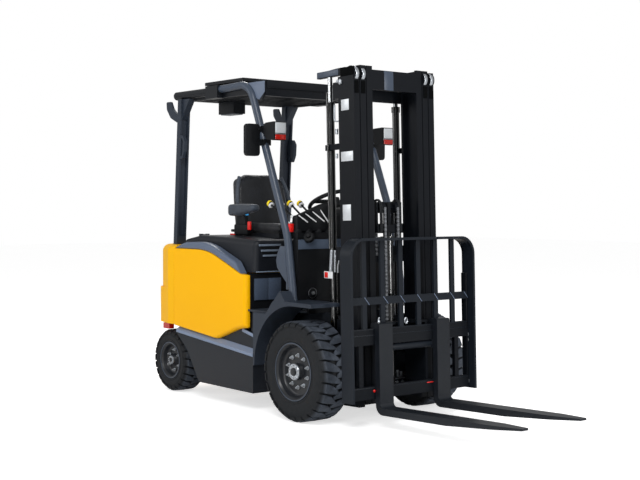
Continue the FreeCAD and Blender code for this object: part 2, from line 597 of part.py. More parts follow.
# Seat: cushion and backrest on a rubber bellows that is part of the hood, and an armrest on the right
cushion = plate("cushion_block", "XZ", (
    ("seatFrontX", "1130", "20"), ("seatFrontX", "1196", "26"), ("seatFrontX - 200", "1188", "300"),
    ("seatFrontX - seatDeep", "1180", "8"), ("seatFrontX - seatDeep", "1130", "8")), "-seatHalf",
        "seatHalf")
node("seat_cushion", cushion)
squab = plate("squab_block", "XZ", (
    ("seatFrontX - seatDeep - restGap", "1140", "8"), ("seatFrontX - seatDeep - restGap", "1184", "60"),
    ("seatFrontX - seatDeep - 68", "seatTopZ", "34"), ("seatFrontX - seatDeep - 150", "seatTopZ", "40"),
    ("seatFrontX - seatDeep - 110", "1140", "30")), "-seatHalf", "seatHalf")
soften(squab, "squab_sides", "24", lambda e: abs(abs(e.CenterOfMass.y) - size("seatHalf")) < 1
       and e.CenterOfMass.z > size("seatTopZ") - 2)
node("seat_back", squab)
arm = plate("arm_pad", "XZ", (
    ("-1100", "1262", "26"), ("-1108", "1330", "20"), ("-716", "1330", "24"), ("-716", "1288", "20"),
    ("-850", "1256", "40")), "-332", "-258")
arm_post = block("arm_post", ("-1060", "-990"), ("-300", "-256"), ("1110.8", "1270"))
node("armrest", fuse("armrest_joined", arm, arm_post))

# Overhead guard: two rear legs, two bent front tubes and a welded roof frame with cross bars
leg = plate("leg", "XZ", (
    ("-1478", "ballastTopZ"), ("-1414", "guardTopZ - 60"), ("-1414 - legDeep", "guardTopZ - 60"),
    ("-1478 - legDeep", "ballastTopZ")), "-(guardHalf + legWide / 2)", "-(guardHalf - legWide / 2)")
pocket(leg, "leg_channel", "XZ", (
    ("-1454", "ballastTopZ + 60"), ("-1396", "guardTopZ - 86"), ("-1434", "guardTopZ - 86"),
        ("-1492", "ballastTopZ + 60")),
    "-(guardHalf + 24)", "-(guardHalf - 24)")
pad(leg, "leg_flare", "XZ", (
    ("-1435", "guardTopZ - 200"), ("-1330", "guardTopZ - 60"), ("-1440", "guardTopZ - 60"),
        ("-1450", "guardTopZ - 200")),
    "-(guardHalf + 24)", "-(guardHalf - 24)")
pad(leg, "grip", "XZ", (
    ("-1456", "1640"), ("-1404", "1640", "16"), ("-1380", "1690", "20"), ("-1374", "1770", "20"),
    ("-1400", "1806", "16"), ("-1450", "1806")), "-(guardHalf + 38)", "-(guardHalf + 16)")
pocket(leg, "grip_opening", "XZ", (
    ("-1430", "1662"), ("-1412", "1662", "6"), ("-1402", "1696", "12"), ("-1396", "1762", "12"),
        ("-1410", "1784", "6"),
    ("-1420", "1784")), "-(guardHalf + 60)", "-(guardHalf - 30)")
pad(leg, "rear_hook", "XZ", (
    ("-1500", "1900"), ("-1582", "1936", "30"), ("-1631", "1996", "24"), ("-1637", "2050", "12"),
        ("-1576", "2050", "12"),
    ("-1546", "1998", "24"), ("-1496", "1959", "20"), ("-1448", "1936"), ("-1448", "1900")),
    "-(guardHalf + 24)", "-(guardHalf + 10)")
node("guard_rear_legs", together("leg_pair", leg, across(leg)))


def guard_tube(name, radius):
    """A front tube of the guard: back along the roof, down and out to the mudguard."""
    body = doc.addObject("PartDesign::Body", name)
    spine = run(body, name + "_line", "XZ", (
        ("-999", "guardTopZ - 21"), ("-638", "guardTopZ - 10", "150"), ("-228", "1127", "600"),
            ("-162.8", "700")),
        "-guardHalf")
    section = body.newObject("Sketcher::SketchObject", name + "_section")
    section.AttachmentSupport = [(plane_of(body, "YZ_Plane"), "")]
    section.MapMode = "FlatFace"
    section.setExpression("AttachmentOffset.Base.z", "-999")
    centre = Vec(-size("guardHalf"), size("guardTopZ - 21"), 0)
    section.addGeometry(Part.Circle(centre, Vec(0, 0, 1), size(radius)), False)
    for kind, at, text in (("DistanceX", 0, "-guardHalf"), ("DistanceY", 0, "guardTopZ - 21")):
        held = section.addConstraint(Sketcher.Constraint(kind, -1, 1, at, 3, size(text)))
        section.setExpression(f"Constraints[{held}]", bound(text))
    held = section.addConstraint(Sketcher.Constraint("Radius", 0, size(radius)))
    section.setExpression(f"Constraints[{held}]", bound(radius))
    pipe = body.newObject("PartDesign::AdditivePipe", name + "_pipe")
    pipe.Profile = section
    pipe.Spine = spine
    body.Tip = pipe
    return body


tube = guard_tube("front_tube", "guardTube / 2")
tube_foot = block("tube_foot", ("-260", "-60"), ("-(guardHalf + 60)", "-(guardHalf - 60)"),
    ("660", "727.3"))
trimmed_tube = cut("front_tube_trimmed", tube, tube_foot)
node("guard_front_legs", together("front_tube_pair", trimmed_tube, across(trimmed_tube)))

tube_space = guard_tube("tube_space", "guardTube / 2")
roof_rail = rod("roof_rail", "x", ("guardRearX", "-guardHalf", "guardTopZ - 30"), "29",
    "-1060 - guardRearX")
roof_clamp = block("roof_clamp", ("-1116", "-970"), ("-(guardHalf + 34)", "-(guardHalf - 34)"),
                   ("guardTopZ - 79", "guardTopZ + 6"))
gusset = plate("gusset", "XZ", (
    ("-800", "guardTopZ - 20"), ("-770", "guardTopZ - 2"), ("guardFrontX", "guardTopZ"),
        ("guardFrontX", "guardTopZ - 70"),
    ("-508", "guardTopZ - 122"), ("-535", "guardTopZ - 122")), "-(guardHalf - 4)", "-(guardHalf - 14)")
inner_rail = block("inner_rail", ("guardRearX + 10", "guardFrontX - 40"),
    ("-(guardHalf - 14)", "-(guardHalf - 30)"),
                   ("guardTopZ - 76", "guardTopZ - 6"))
side_roof = fuse("side_roof", roof_rail, roof_clamp, gusset, inner_rail)
ROOF_BLOCKS = [
    # name, back, front, half width, low, high
    ("front_beam", "guardFrontX - 46", "guardFrontX", "guardHalf - 14", "guardTopZ - 96", "guardTopZ + 2"),
    ("front_step", "guardFrontX - 46", "guardFrontX + 7", "guardHalf - 16", "guardTopZ - 46",
        "guardTopZ - 2"),
    ("rear_beam", "guardRearX", "guardRearX + 50", "guardHalf", "guardTopZ - 60", "guardTopZ - 4"),
    ("top_panel", "-1255", "-795", "400", "guardTopZ + 26", "guardTopZ + 47"),
    ("panel_rest_front", "-840", "-810", "guardHalf - 20", "guardTopZ - 40", "guardTopZ - 14"),
    ("panel_post_front", "-840", "-810", "380", "guardTopZ - 40", "guardTopZ + 26"),
    ("panel_rest_back", "-1240", "-1210", "guardHalf - 20", "guardTopZ - 40", "guardTopZ - 14"),
    ("panel_post_back", "-1240", "-1210", "380", "guardTopZ - 40", "guardTopZ + 26"),
]
for i in range(11):
    start = f"guardRearX + 96 + {i} * (guardFrontX - guardRearX - 150) / 11"
    ROOF_BLOCKS.append((f"cross_bar_{i}", start, start + " + 16", "guardHalf - 20", "guardTopZ - 66",
                        "guardTopZ - 16"))
roof_parts = [block(n, (back, front), (f"-({half})", half), (low, high))
              for n, back, front, half, low, high in ROOF_BLOCKS]
roof_parts.append(block("dome_light", ("-1460", "-1270"), ("-150", "-50"),
    ("guardTopZ - 148", "guardTopZ - 60")))
leg_head = block("leg_head", ("guardRearX - 10", "-1325"), ("-(guardHalf + 40)", "-(guardHalf - 40)"),
                 ("guardTopZ - 160", "guardTopZ - 60 + restGap"))
roof_joined = fuse("roof_joined", side_roof, across(side_roof), *roof_parts)
node("guard_roof", cut("roof_bored", roof_joined, tube_space, across(tube_space), leg_head,
    across(leg_head)))

# Headlamps with a turn lamp under each, clamped to the front tubes, and outside mirrors lower down
LAMP_Z = "(guardTopZ - lampDrop)"
LAMP_X = "(-638 + 410 * (lampDrop - 10) / (guardTopZ - 1137))"
MIRROR_Z = "(guardTopZ - mirrorDrop)"
MIRROR_X = "(-638 + 410 * (mirrorDrop - 10) / (guardTopZ - 1137))"
lamp_parts = [
    plate("lamp_shell", "XZ", (
        (f"{LAMP_X} + 87", f"{LAMP_Z} - 40", "14"), (f"{LAMP_X} + 87", f"{LAMP_Z} + 36", "24"),
        (f"{LAMP_X} + 199", f"{LAMP_Z} + 42", "8"), (f"{LAMP_X} + 199", f"{LAMP_Z} - 78", "8"),
        (f"{LAMP_X} + 119", f"{LAMP_Z} - 70", "20")), "-(lampY + 45)", "-(lampY - 45)"),
    block("lamp_glass", (f"{LAMP_X} + 191", f"{LAMP_X} + 206"), ("-(lampY + 41)", "-(lampY - 41)"),
          (f"{LAMP_Z} - 35", f"{LAMP_Z} + 36")),
    block("turn_glass", (f"{LAMP_X} + 191", f"{LAMP_X} + 205"), ("-(lampY + 41)", "-(lampY - 41)"),
          (f"{LAMP_Z} - 74", f"{LAMP_Z} - 40")),
    block("lamp_arm", (f"{LAMP_X} - 9", f"{LAMP_X} + 91"), ("-(guardHalf + 16)", "-(guardHalf - 16)"),
          (f"{LAMP_Z} - 22", f"{LAMP_Z} + 22")),
    block("lamp_clamp", (f"{LAMP_X} - 34", f"{LAMP_X} + 33"), ("-(guardHalf + 24.7)", "-(guardHalf - 33)"),
          (f"{LAMP_Z} - 16", f"{LAMP_Z} + 16")),
]
lamp = cut("lamp_right", fuse("lamp_joined", *lamp_parts), tube_space)
node("headlamps", together("lamp_pair", lamp, across(lamp)))

shell = plate("mirror_shell", "YZ", (
    ("-(frontTyreOuter - 2)", f"{MIRROR_Z} - 87", "24"), ("-(frontTyreOuter - 2)", f"{MIRROR_Z} + 118",
        "24"),
    ("-(guardHalf + 25)", f"{MIRROR_Z} + 118", "24"), ("-(guardHalf + 25)", f"{MIRROR_Z} - 87", "24")),
    f"{MIRROR_X} - 42", f"{MIRROR_X} - 14")
mirror_clamp = block("mirror_clamp", (f"{MIRROR_X} - 54", f"{MIRROR_X} + 28"),
                     ("-(guardHalf + 38)", "-(guardHalf - 32)"), (f"{MIRROR_Z} - 19", f"{MIRROR_Z} + 19"))
mirror = cut("mirror_right", fuse("mirror_joined", shell, mirror_clamp), tube_space)
node("mirrors", together("mirror_pair", mirror, across(mirror)))

rear_lamp = block("rear_lamp", (f"{REAR} - 40", f"{REAR} + 40"), ("-(bodyHalf - 2)", "-(bodyHalf - 42)"),
                  ("rearTyreDia + 7", "ballastLowZ"))
node("rear_lamps", together("rear_lamp_pair", rear_lamp, across(rear_lamp)))

# Steering column with its dash pod, and the steering wheel on top
dash = plate("dash", "XZ", (
    ("-160", "1110"), ("-160", "1262", "30"), ("-224", "1316", "36"), ("-296", "1240", "30"),
        ("-262", "1110")),
    "-122", "170")
column = rod("column", "z", ("wheelRingX", "0", "wheelRingZ"), "26", "196")
column.Placement.Rotation = FreeCAD.Rotation(Vec(0, 1, 0), 180 - 25)
bind(column, Placement__Rotation__Angle="180 - wheelRingLean",
     Placement__Base__x="wheelRingX + 52 * sin(wheelRingLean)",
         Placement__Base__z="wheelRingZ - 52 * cos(wheelRingLean)")
steering_pin = rod("steering_pin", "z", ("wheelRingX", "0", "wheelRingZ"), "9", "60")
steering_pin.Placement.Rotation = FreeCAD.Rotation(Vec(0, 1, 0), 180 - 25)
bind(steering_pin, Placement__Rotation__Angle="180 - wheelRingLean")
node("steering_column", fuse("column_joined", dash, column, steering_pin))

ring = doc.addObject("Part::Torus", "wheel_ring")
bind(ring, Radius1="wheelRingRad - 13", Radius2="13")
spokes = [block("spoke_across", ("-16", "16"), ("-(wheelRingRad - 16)", "wheelRingRad - 16"), ("-9", "5")),
          block("spoke_back", ("-(wheelRingRad - 16)", "0"), ("-16", "16"), ("-9", "5")),
          rod("wheel_hub", "z", ("0", "0", "-44"), "34", "56", "42")]
hub_bore = rod("wheel_bore", "z", ("0", "0", "-60"), "9 + runGap", "61")
steering = cut("steering_wheel_bored", fuse("steering_wheel_joined", ring, *spokes), hub_bore)
steering.Placement = FreeCAD.Placement(Vec(0, 0, 0), FreeCAD.Rotation(Vec(0, 1, 0), -25))
node("steering_wheel", steering)

# Four hydraulic levers with rubber boots on a console beside the dash
lever_parts = [block("lever_console", ("-232", "-162"), ("-427", "-122.3"), ("1110", "1146"))]
for i in range(4):
    across_at = f"-154 - {i} * 81"
    lever_parts.append(rod(f"boot_{i}", "z", ("-204", across_at, "1144"), "27", "30", "13"))
    stalk = rod(f"stalk_{i}", "z", ("-200", across_at, "1140"), "6.5", "352")
    stalk.Placement.Rotation = FreeCAD.Rotation(Vec(0, 1, 0), -57)
    bind(stalk, Placement__Rotation__Angle="-atan((-200 - knobX) / (knobZ - 1140))")
    knob = doc.addObject("Part::Sphere", f"knob_{i}")
    bind(knob, Radius="19", Placement__Base__x="knobX", Placement__Base__y=across_at,
        Placement__Base__z="knobZ")
    lever_parts += [stalk, knob]
node("levers", fuse("levers_joined", *lever_parts))

# Mast: three nested stages, each a pair of rolled channels tied by cross members out of the load's path
MAST = []


def mast_node(label, thing):
    """A finished piece that leans with the mast."""
    MAST.append(label)
    return node(label, thing)


def stage(name, half, foot, top, ties):
    """One mast stage: ties are (name, back, front, half width, low, high)."""
    body = doc.addObject("PartDesign::Body", name)
    for tie, back, front, reach, low, high in ties:
        pad(body, f"{name}_{tie}", "XY", (
            (back, f"-({reach})"), (back, reach), (front, reach), (front, f"-({reach})")), low, high)
    channel_back = "channelFrontX - channelDeep"
    for side, sign in (("right", "-"), ("left", "")):
        outer, inner = f"{sign}({half})", f"{sign}({half} - channelWide)"
        web = f"{sign}({half} - channelWeb)"
        pad(body, f"{name}_{side}", "XY", (
            (channel_back, outer), ("channelFrontX", outer), ("channelFrontX", inner),
            ("channelFrontX - channelFlange", inner), ("channelFrontX - channelFlange", web),
            (channel_back + " + channelFlange", web), (channel_back + " + channelFlange", inner),
            (channel_back, inner)), foot, top)
    return body


def top_rolls(name, half, top):
    """The two rollers that show in front of a stage's flanges at its top."""
    return [rod(f"{name}_top_roll_{side}", "y", ("channelFrontX - 44", start, f"{top} - 52"), "46.5", "30")
            for side, start in (("right", f"-({half} - 8)"), ("left", f"{half} - 38"))]


def foot_rolls(name, half, outside):
    """The two rollers at a stage's foot, which run inside the channels of the stage around it."""
    far = f"{outside} - channelWeb - 2"
    return [rod(f"{name}_foot_roll_{side}", "y", ("channelFrontX - channelDeep / 2", start,
        "mastFootZ + 87"),
                "channelDeep / 2 - channelFlange - restGap", f"{far} - ({half}) + 4")
            for side, start in (("right", f"-({far})"), ("left", f"{half} - 4"))]


MIDDLE_HALF = "mastHalf - channelWide - stageGap"
INNER_HALF = "mastHalf - 2 * (channelWide + stageGap)"
PIN_X = f"(tiltFrontX * cos(mastLean) + (tiltZ - {AXLE_Z}) * sin(mastLean))"
PIN_Z = f"({AXLE_Z} + (tiltZ - {AXLE_Z}) * cos(mastLean) - tiltFrontX * sin(mastLean))"
outer_mast = stage("outer_stage", "mastHalf", "mastFootZ", "outerTopZ", (
    ("foot_tie", "121", "141", "mastHalf", "112", "200"),
    ("tilt_tie", "121", "141", "mastHalf", "500", "620"),
    ("mid_tie", "121", "141", "mastHalf", "980", "1060"),
    ("top_tie", "121", "141", "mastHalf", "outerTopZ - 130", "outerTopZ - 30")))
for side, sign in (("right", "-"), ("left", "")):
    for tie, low, high in (("foot", "112", "200"), ("tilt", "500", "620"), ("mid", "980", "1060"),
                           ("top", "outerTopZ - 130", "outerTopZ - 30")):
        pad(outer_mast, f"cheek_{tie}_{side}", "XY", (
            ("121", f"{sign}mastHalf"), ("170", f"{sign}mastHalf"), ("170", f"{sign}(mastHalf - 30)"),
            ("121", f"{sign}(mastHalf - 30)")), low, high)
    pad(outer_mast, f"trunnion_{side}", "XZ", (
        ("-40", f"{AXLE_Z} - 100", "40"), ("-112", AXLE_Z, "70"), ("-40", f"{AXLE_Z} + 100", "40"),
        ("172", f"{AXLE_Z} + 100"), ("172", f"{AXLE_Z} - 100")),
        "-317" if sign else "287", "-287" if sign else "317")
    pad(outer_mast, f"lift_foot_{side}", "XY", (
        ("-10", f"{sign}(liftY - 28)"), ("172", f"{sign}(liftY + 14)"), ("172", f"{sign}mastHalf"),
        ("-10", f"{sign}(liftY + 28)")), f"{AXLE_Z} + 84", f"{AXLE_Z} + 100")
    pad(outer_mast, f"lift_clip_{side}", "XY", (
        ("8", f"{sign}(liftY + liftRad + 1)"), ("172", f"{sign}(liftY + liftRad + 1)"),
            ("172", f"{sign}mastHalf"),
        ("8", f"{sign}(liftY + liftRad + 14)")), "1655", "1690")
    for edge, near, far in (("inner", "tiltY - 26", "tiltY - 16"), ("outer", "tiltY + 16", "tiltY + 26")):
        low, high = (f"-({far})", f"-({near})") if sign else (near, far)
        pad(outer_mast, f"tilt_ear_{edge}_{side}", "XZ", (
            ("125", f"{PIN_Z} - 32"), (f"{PIN_X} - 20", f"{PIN_Z} - 20", "14"),
            (f"{PIN_X} - 20", f"{PIN_Z} + 20", "14"), ("125", f"{PIN_Z} + 32")), low, high)
pivots = [rod("axle_space", "y", ("0", "-400", AXLE_Z), "78 + runGap", "800")]
pins = [rod(f"tilt_front_pin_{n}", "y", (PIN_X, f"{y} - 28", PIN_Z), "12", "56")
        for n, y in (("right", "-tiltY"), ("left", "tiltY"))]
mast_node("mast_outer", fuse("mast_outer_joined", cut("mast_outer_bored", outer_mast, *pivots), *pins,
                             *top_rolls("outer", "mastHalf", "outerTopZ")))

middle_mast = stage("middle_stage", MIDDLE_HALF, "mastFootZ + 12", "innerTopZ", (
    ("foot_tie", "147", "164", MIDDLE_HALF, "120", "230"),
    ("mid_tie", "147", "164", MIDDLE_HALF, "1140", "1200"),
    ("top_tie", "147", "164", MIDDLE_HALF, "innerTopZ - 70", "innerTopZ")))
for side, sign in (("right", "-"), ("left", "")):
    for tie, low, high in (("foot", "120", "230"), ("mid", "1140", "1200"),
        ("top", "innerTopZ - 70", "innerTopZ")):
        pad(middle_mast, f"middle_cheek_{tie}_{side}", "XY", (
            ("147", f"{sign}({MIDDLE_HALF})"), ("170", f"{sign}({MIDDLE_HALF})"),
                ("170", f"{sign}({MIDDLE_HALF} - 30)"),
            ("147", f"{sign}({MIDDLE_HALF} - 30)")), low, high)
    low, high = ("-(liftY + 14)", "-(liftY - 14)") if sign else ("liftY - 14", "liftY + 14")
    pad(middle_mast, f"lift_arm_{side}", "XZ", (
        ("-90", "innerTopZ - 42"), ("-90", "innerTopZ - 8", "8"), ("110", "innerTopZ + 3"),
            ("182", "innerTopZ + 3"),
        ("182", "innerTopZ - 42")), low, high)
mast_node("mast_middle", fuse("mast_middle_joined", middle_mast, *top_rolls("middle", MIDDLE_HALF,
    "innerTopZ"),
                              *foot_rolls("middle", MIDDLE_HALF, "mastHalf")))

inner_mast = stage("inner_stage", INNER_HALF, "mastFootZ + 12", "innerTopZ", (
    ("ram_foot", "178", "266", "200", "128", "150"),
    ("top_front", "channelFrontX - 30", "channelFrontX", "200", "innerTopZ - 141", "innerTopZ - 21"),
    ("top_back", "170", "190", "200", "innerTopZ - 67", "innerTopZ - 2")))
pad(inner_mast, "chain_anchor", "XY", (
    ("170", "-190"), ("170", "190"), ("181", "190"), ("181", "-190")), "960", "1000")
mast_node("mast_inner", fuse("mast_inner_joined", inner_mast, *foot_rolls("inner", INNER_HALF,
    MIDDLE_HALF)))

# Lift cylinders behind the outer channels; their rods push the middle stage's arms
lift_pieces = [
    rod("lift_barrel", "z", ("liftX", "-liftY", f"{AXLE_Z} + 100"), "liftRad", "1545"),
    rod("lift_gland", "z", ("liftX", "-liftY", f"{AXLE_Z} + 1610"), "liftRad + 5", "36"),
]
lift_space = rod("lift_space", "z", ("liftX", "-liftY", f"{AXLE_Z} + 120"), "liftRodRad + runGap", "1700")
barrel = cut("lift_barrel_bored", fuse("lift_barrel_joined", *lift_pieces), lift_space)
mast_node("lift_barrels", together("lift_barrel_pair", barrel, across(barrel)))
lift_rod = rod("lift_rod", "z", ("liftX", "-liftY", f"{AXLE_Z} + 135"), "liftRodRad",
               f"innerTopZ - 42 - {AXLE_Z} - 135")
mast_node("lift_rods", together("lift_rod_pair", lift_rod, across(lift_rod)))

# Free-lift cylinder between the inner channels; its rod carries two chain pulleys
ram_pieces = [rod("ram_tube", "z", ("ramX", "0", "150"), "ramRad", "960"),
              rod("ram_gland", "z", ("ramX", "0", "1080"), "ramRad + 4", "40")]
ram_space = rod("ram_space", "z", ("ramX", "0", "170"), "ramRodRad + runGap", "1200")
mast_node("free_lift_barrel", cut("ram_bored", fuse("ram_joined", *ram_pieces), ram_space))
yoke = [rod("ram_rod", "z", ("ramX", "0", "210"), "ramRodRad", "940"),
        block("yoke_base", ("ramX - 30", "ramX + 30"), ("-104", "104"), ("1145", "1192")),
        rod("pulley_pin", "y", ("ramX", "-104", "1300"), "13", "208")]
for i, (low, high) in enumerate((("-104", "-92"), ("-12", "12"), ("92", "104"))):
    yoke.append(block(f"yoke_cheek_{i}", ("ramX - 22", "ramX + 22"), (low, high), ("1190", "1332")))
for side, low in (("right", "-66"), ("left", "40")):
    yoke.append(rod("pulley_" + side, "y", ("ramX", low, "1300"), "pulleyRad", "26"))
mast_node("free_lift_rod", fuse("yoke_joined", *yoke))
chain_fronts, chain_backs = [], []
for side, low in (("right", "-61"), ("left", "45")):
    chain_fronts.append(block("chain_front_" + side, ("ramX + pulleyRad + 1", "ramX + pulleyRad + 11"),
                              (low, f"{low} + 16"), ("602", "1300")))
    chain_backs.append(block("chain_back_" + side, ("ramX - pulleyRad - 11", "ramX - pulleyRad - 1"),
                             (low, f"{low} + 16"), ("1000.3", "1300")))
mast_node("chain_front_runs", together("chain_front_pair", *chain_fronts))
mast_node("chain_back_runs", together("chain_back_pair", *chain_backs))

# Fork carriage: two fork bars on side plates whose rollers run inside the inner channels
CARRIAGE = [
    # name, back, front, low across, high across, low, high
    ("upper_bar", "389", "389 + barThick", "-carriageHalf", "carriageHalf", "barTopZ - barHigh", "barTopZ"),
    ("lower_bar", "389", "389 + barThick", "-carriageHalf", "carriageHalf", "lowBarZ",
        "lowBarZ + lowBarHigh"),
]
for side, sign in (("right", "-"), ("left", "")):
    for piece, back, front, near, far, low, high in (
            ("side_plate", "205", "391", "150", "170", "215", "600"),
            ("chain_lug", "264", "391", "46", "168", "586", "601"),
            ("upright", "391", "415", "380", "412", "lowBarZ + 10", "barTopZ - 10")):
        span = (f"-{far}", f"-{near}") if sign else (near, far)
        CARRIAGE.append((f"{piece}_{side}", back, front, *span, low, high))
carriage_parts = [block(n, (back, front), (near, far), (low, high))
                  for n, back, front, near, far, low, high in CARRIAGE]
for side, start in (("right", "-212"), ("left", "168")):
    for place, height in (("low", "290"), ("high", "520")):
        carriage_parts.append(rod(f"roller_{place}_{side}", "y", ("channelFrontX - channelDeep / 2",
            start, height),
                                  "channelDeep / 2 - channelFlange - restGap", "44"))
mast_node("carriage", fuse("carriage_joined", *carriage_parts))

# Load backrest: an arched flat bar with six uprights and a middle rail
rest = plate("rest", "YZ", (
    ("-restHalf", "150"), ("-restHalf", "restTopZ", "110"), ("restHalf", "restTopZ", "110"),
        ("restHalf", "150"),
    ("restHalf - restBar", "150"), ("restHalf - restBar", "restTopZ - restBar", "110 - restBar"),
    ("-(restHalf - restBar)", "restTopZ - restBar", "110 - restBar"), ("-(restHalf - restBar)", "150")),
    "375", "375 + restDeep")
pad(rest, "middle_rail", "YZ", (
    ("-(restHalf - 8)", "717"), ("-(restHalf - 8)", "762"), ("restHalf - 8", "762"),
        ("restHalf - 8", "717")),
    "405", "421")
for i in range(6):
    at = f"({i} * 146 - 365)"
    foot = "607 + restGap" if i in (1, 4) else "barTopZ + restGap"
    pad(rest, f"upright_{i}", "YZ", (
        (f"{at} - 17", foot), (f"{at} - 17", "restTopZ - 8"), (f"{at} + 17", "restTopZ - 8"),
            (f"{at} + 17", foot)),
        "405", "421")
mast_node("load_backrest", rest)

# Forks: forged L-shaped tines hooked over the fork bars
TIP_X = "forkFaceX + forkLong"
fork = plate("fork", "XZ", (
    ("forkFaceX - forkThick", "607"), ("forkFaceX", "607", "12"), ("forkFaceX", "forkLowZ + 42", "26"),
    (TIP_X, "forkLowZ + 42"), (TIP_X, "forkLowZ + 30"), ("1000", "forkLowZ"),
        ("forkFaceX - forkThick", "forkLowZ", "58")),
    "-(forkY + forkWide / 2)", "-(forkY - forkWide / 2)")
pad(fork, "upper_hook", "XZ", (
    ("376", "barTopZ - 22"), ("376", "607", "10"), ("forkFaceX - 20", "607"),
        ("forkFaceX - 20", "barTopZ + restGap"),
    ("389 - restGap", "barTopZ + restGap"), ("389 - restGap", "barTopZ - 22")), "-(forkY + 45)",
        "-(forkY - 45)")
for edge, sign in (("inner", "+"), ("outer", "-")):
    far = f"-forkY {sign} forkWide / 2"
    pocket(fork, f"tip_{edge}", "XY", (
        (f"{TIP_X} - 190", f"{far}"), (f"{TIP_X} + 5", f"{far} {'-' if sign == '+' else '+'} 30"),
        (f"{TIP_X} + 5", f"{far} {sign} 5"), (f"{TIP_X} - 190", f"{far} {sign} 5")), "0", "200")
mast_node("forks", together("fork_pair", fork, across(fork)))

# Tilt cylinders: barrels pinned to the chassis, rods pinned to the outer mast
reach = "(tiltFrontX - tiltRearX)"
tilt_barrel = fuse("tilt_barrel_joined",
                   rod("tilt_tube", "x", ("tiltRearX + 28", "-tiltY", "tiltZ"), "31", "227"),
                   rod("tilt_neck", "x", ("tiltRearX + 15", "-tiltY", "tiltZ"), "15", "20"),
                   rod("tilt_eye", "y", ("tiltRearX", "-tiltY - 15.7", "tiltZ"), "24", "31.4"),
                   rod("tilt_gland", "x", ("tiltRearX + 240", "-tiltY", "tiltZ"), "35", "25"))
tilt_barrel = cut("tilt_barrel_bored", tilt_barrel,
                  rod("tilt_rear_bore", "y", ("tiltRearX", "-tiltY - 30", "tiltZ"), "12 + runGap", "60"),
                  rod("tilt_space", "x", ("tiltRearX + 60", "-tiltY", "tiltZ"), "tiltRodRad + runGap",
                      "300"))
node("tilt_barrels", together("tilt_barrel_pair", tilt_barrel, across(tilt_barrel)))
tilt_rod = fuse("tilt_rod_joined",
                rod("tilt_rod", "x", ("tiltRearX + 110", "-tiltY", "tiltZ"), "tiltRodRad",
                    f"{reach} - 110 - 10"),
                rod("tilt_rod_eye", "y", ("tiltFrontX", "-tiltY - 15.7", "tiltZ"), "22", "31.4"))
tilt_rod = cut("tilt_rod_bored", tilt_rod,
               rod("tilt_front_bore", "y", ("tiltFrontX", "-tiltY - 30", "tiltZ"), "12 + bushGap", "60"))
node("tilt_rods", together("tilt_rod_pair", tilt_rod, across(tilt_rod)))

# Every piece is moved into the part's frame; the mast pieces also lean back about the drive axle
LEAN = {"Placement__Base__x": "frontAxleX + frontTyreDia / 2 * sin(mastLean)",
        "Placement__Base__z": "frontTyreDia / 2 * (1 - cos(mastLean))"}
for label, thing in nodes.items():
    if thing.isDerivedFrom("Part::Mirroring"):
        continue
    if label in MAST:
        thing.Placement = FreeCAD.Placement(Vec(0, 0, 0), FreeCAD.Rotation(Vec(0, 1, 0), -size("mastLean")))
        bind(thing, Placement__Rotation__Angle="-mastLean", **LEAN)
    elif label.endswith(("tyre_right", "rim_right")):
        bind(thing, Placement__Base__x="frontAxleX" if label.startswith("front") else "frontAxleX - wheelBase")
    elif label == "steering_wheel":
        bind(thing, Placement__Rotation__Angle="-wheelRingLean",
             Placement__Base__x="frontAxleX + wheelRingX", Placement__Base__z="wheelRingZ")
    else:
        bind(thing, Placement__Base__x="frontAxleX")
doc.recompute()

for thing in doc.Objects:
    if "Invalid" in thing.State or "Error" in thing.State:
        raise RuntimeError(f"{thing.Label} did not build: {thing.getStatusString()}")
os.makedirs("parts", exist_ok=True)
for label, thing in nodes.items():
    if thing.Shape.isNull() or not thing.Shape.isValid():
        raise RuntimeError(f"{label} has no valid shape")
    thing.Shape.exportStep(f"parts/{label}.step")
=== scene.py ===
import bpy
import math
from mathutils import Matrix, Vector


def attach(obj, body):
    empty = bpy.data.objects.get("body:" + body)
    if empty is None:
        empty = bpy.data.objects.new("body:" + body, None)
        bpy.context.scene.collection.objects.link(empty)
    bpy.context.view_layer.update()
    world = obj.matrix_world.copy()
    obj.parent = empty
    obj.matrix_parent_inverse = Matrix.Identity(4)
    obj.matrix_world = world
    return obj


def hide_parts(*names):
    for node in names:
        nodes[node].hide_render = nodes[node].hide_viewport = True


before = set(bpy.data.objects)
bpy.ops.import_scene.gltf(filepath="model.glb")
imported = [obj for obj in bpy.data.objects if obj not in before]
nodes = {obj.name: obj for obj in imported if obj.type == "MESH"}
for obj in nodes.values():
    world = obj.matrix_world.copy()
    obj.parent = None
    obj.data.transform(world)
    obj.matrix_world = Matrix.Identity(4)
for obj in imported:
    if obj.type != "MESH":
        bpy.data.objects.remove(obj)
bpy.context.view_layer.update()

# Chassis, axles and knuckles: welded steel plate under a dark slate stove paint. It is
# satin with a faint orange peel, dustier towards the ground, so the flank stays nearly
# black and only its edges catch the light.


def linear(text):
    """A hex sRGB colour as linear values."""
    parts = [int(text[i:i + 2], 16) / 255 for i in (1, 3, 5)]
    return [c / 12.92 if c <= 0.04045 else ((c + 0.055) / 1.055) ** 2.4 for c in parts] + [1]


def add(tree, kind, sockets=None, **settings):
    """A shader node with its settings; a socket takes a value or another node's output."""
    made = tree.nodes.new("ShaderNode" + kind)
    for name, value in settings.items():
        setattr(made, name, value)
    for name, value in (sockets or {}).items():
        if isinstance(value, bpy.types.NodeSocket):
            tree.links.new(value, made.inputs[name])
        else:
            made.inputs[name].default_value = value
    return made


def finish(name, **shader):
    """A new finish: its material, node tree, main shader and Object coordinates."""
    made = bpy.data.materials.new(name)
    made.use_nodes = True
    tree = made.node_tree
    main = tree.nodes["Principled BSDF"]
    for socket, value in shader.items():
        main.inputs[socket.replace("_", " ")].default_value = value
    return made, tree, main, add(tree, "TexCoord").outputs["Object"]


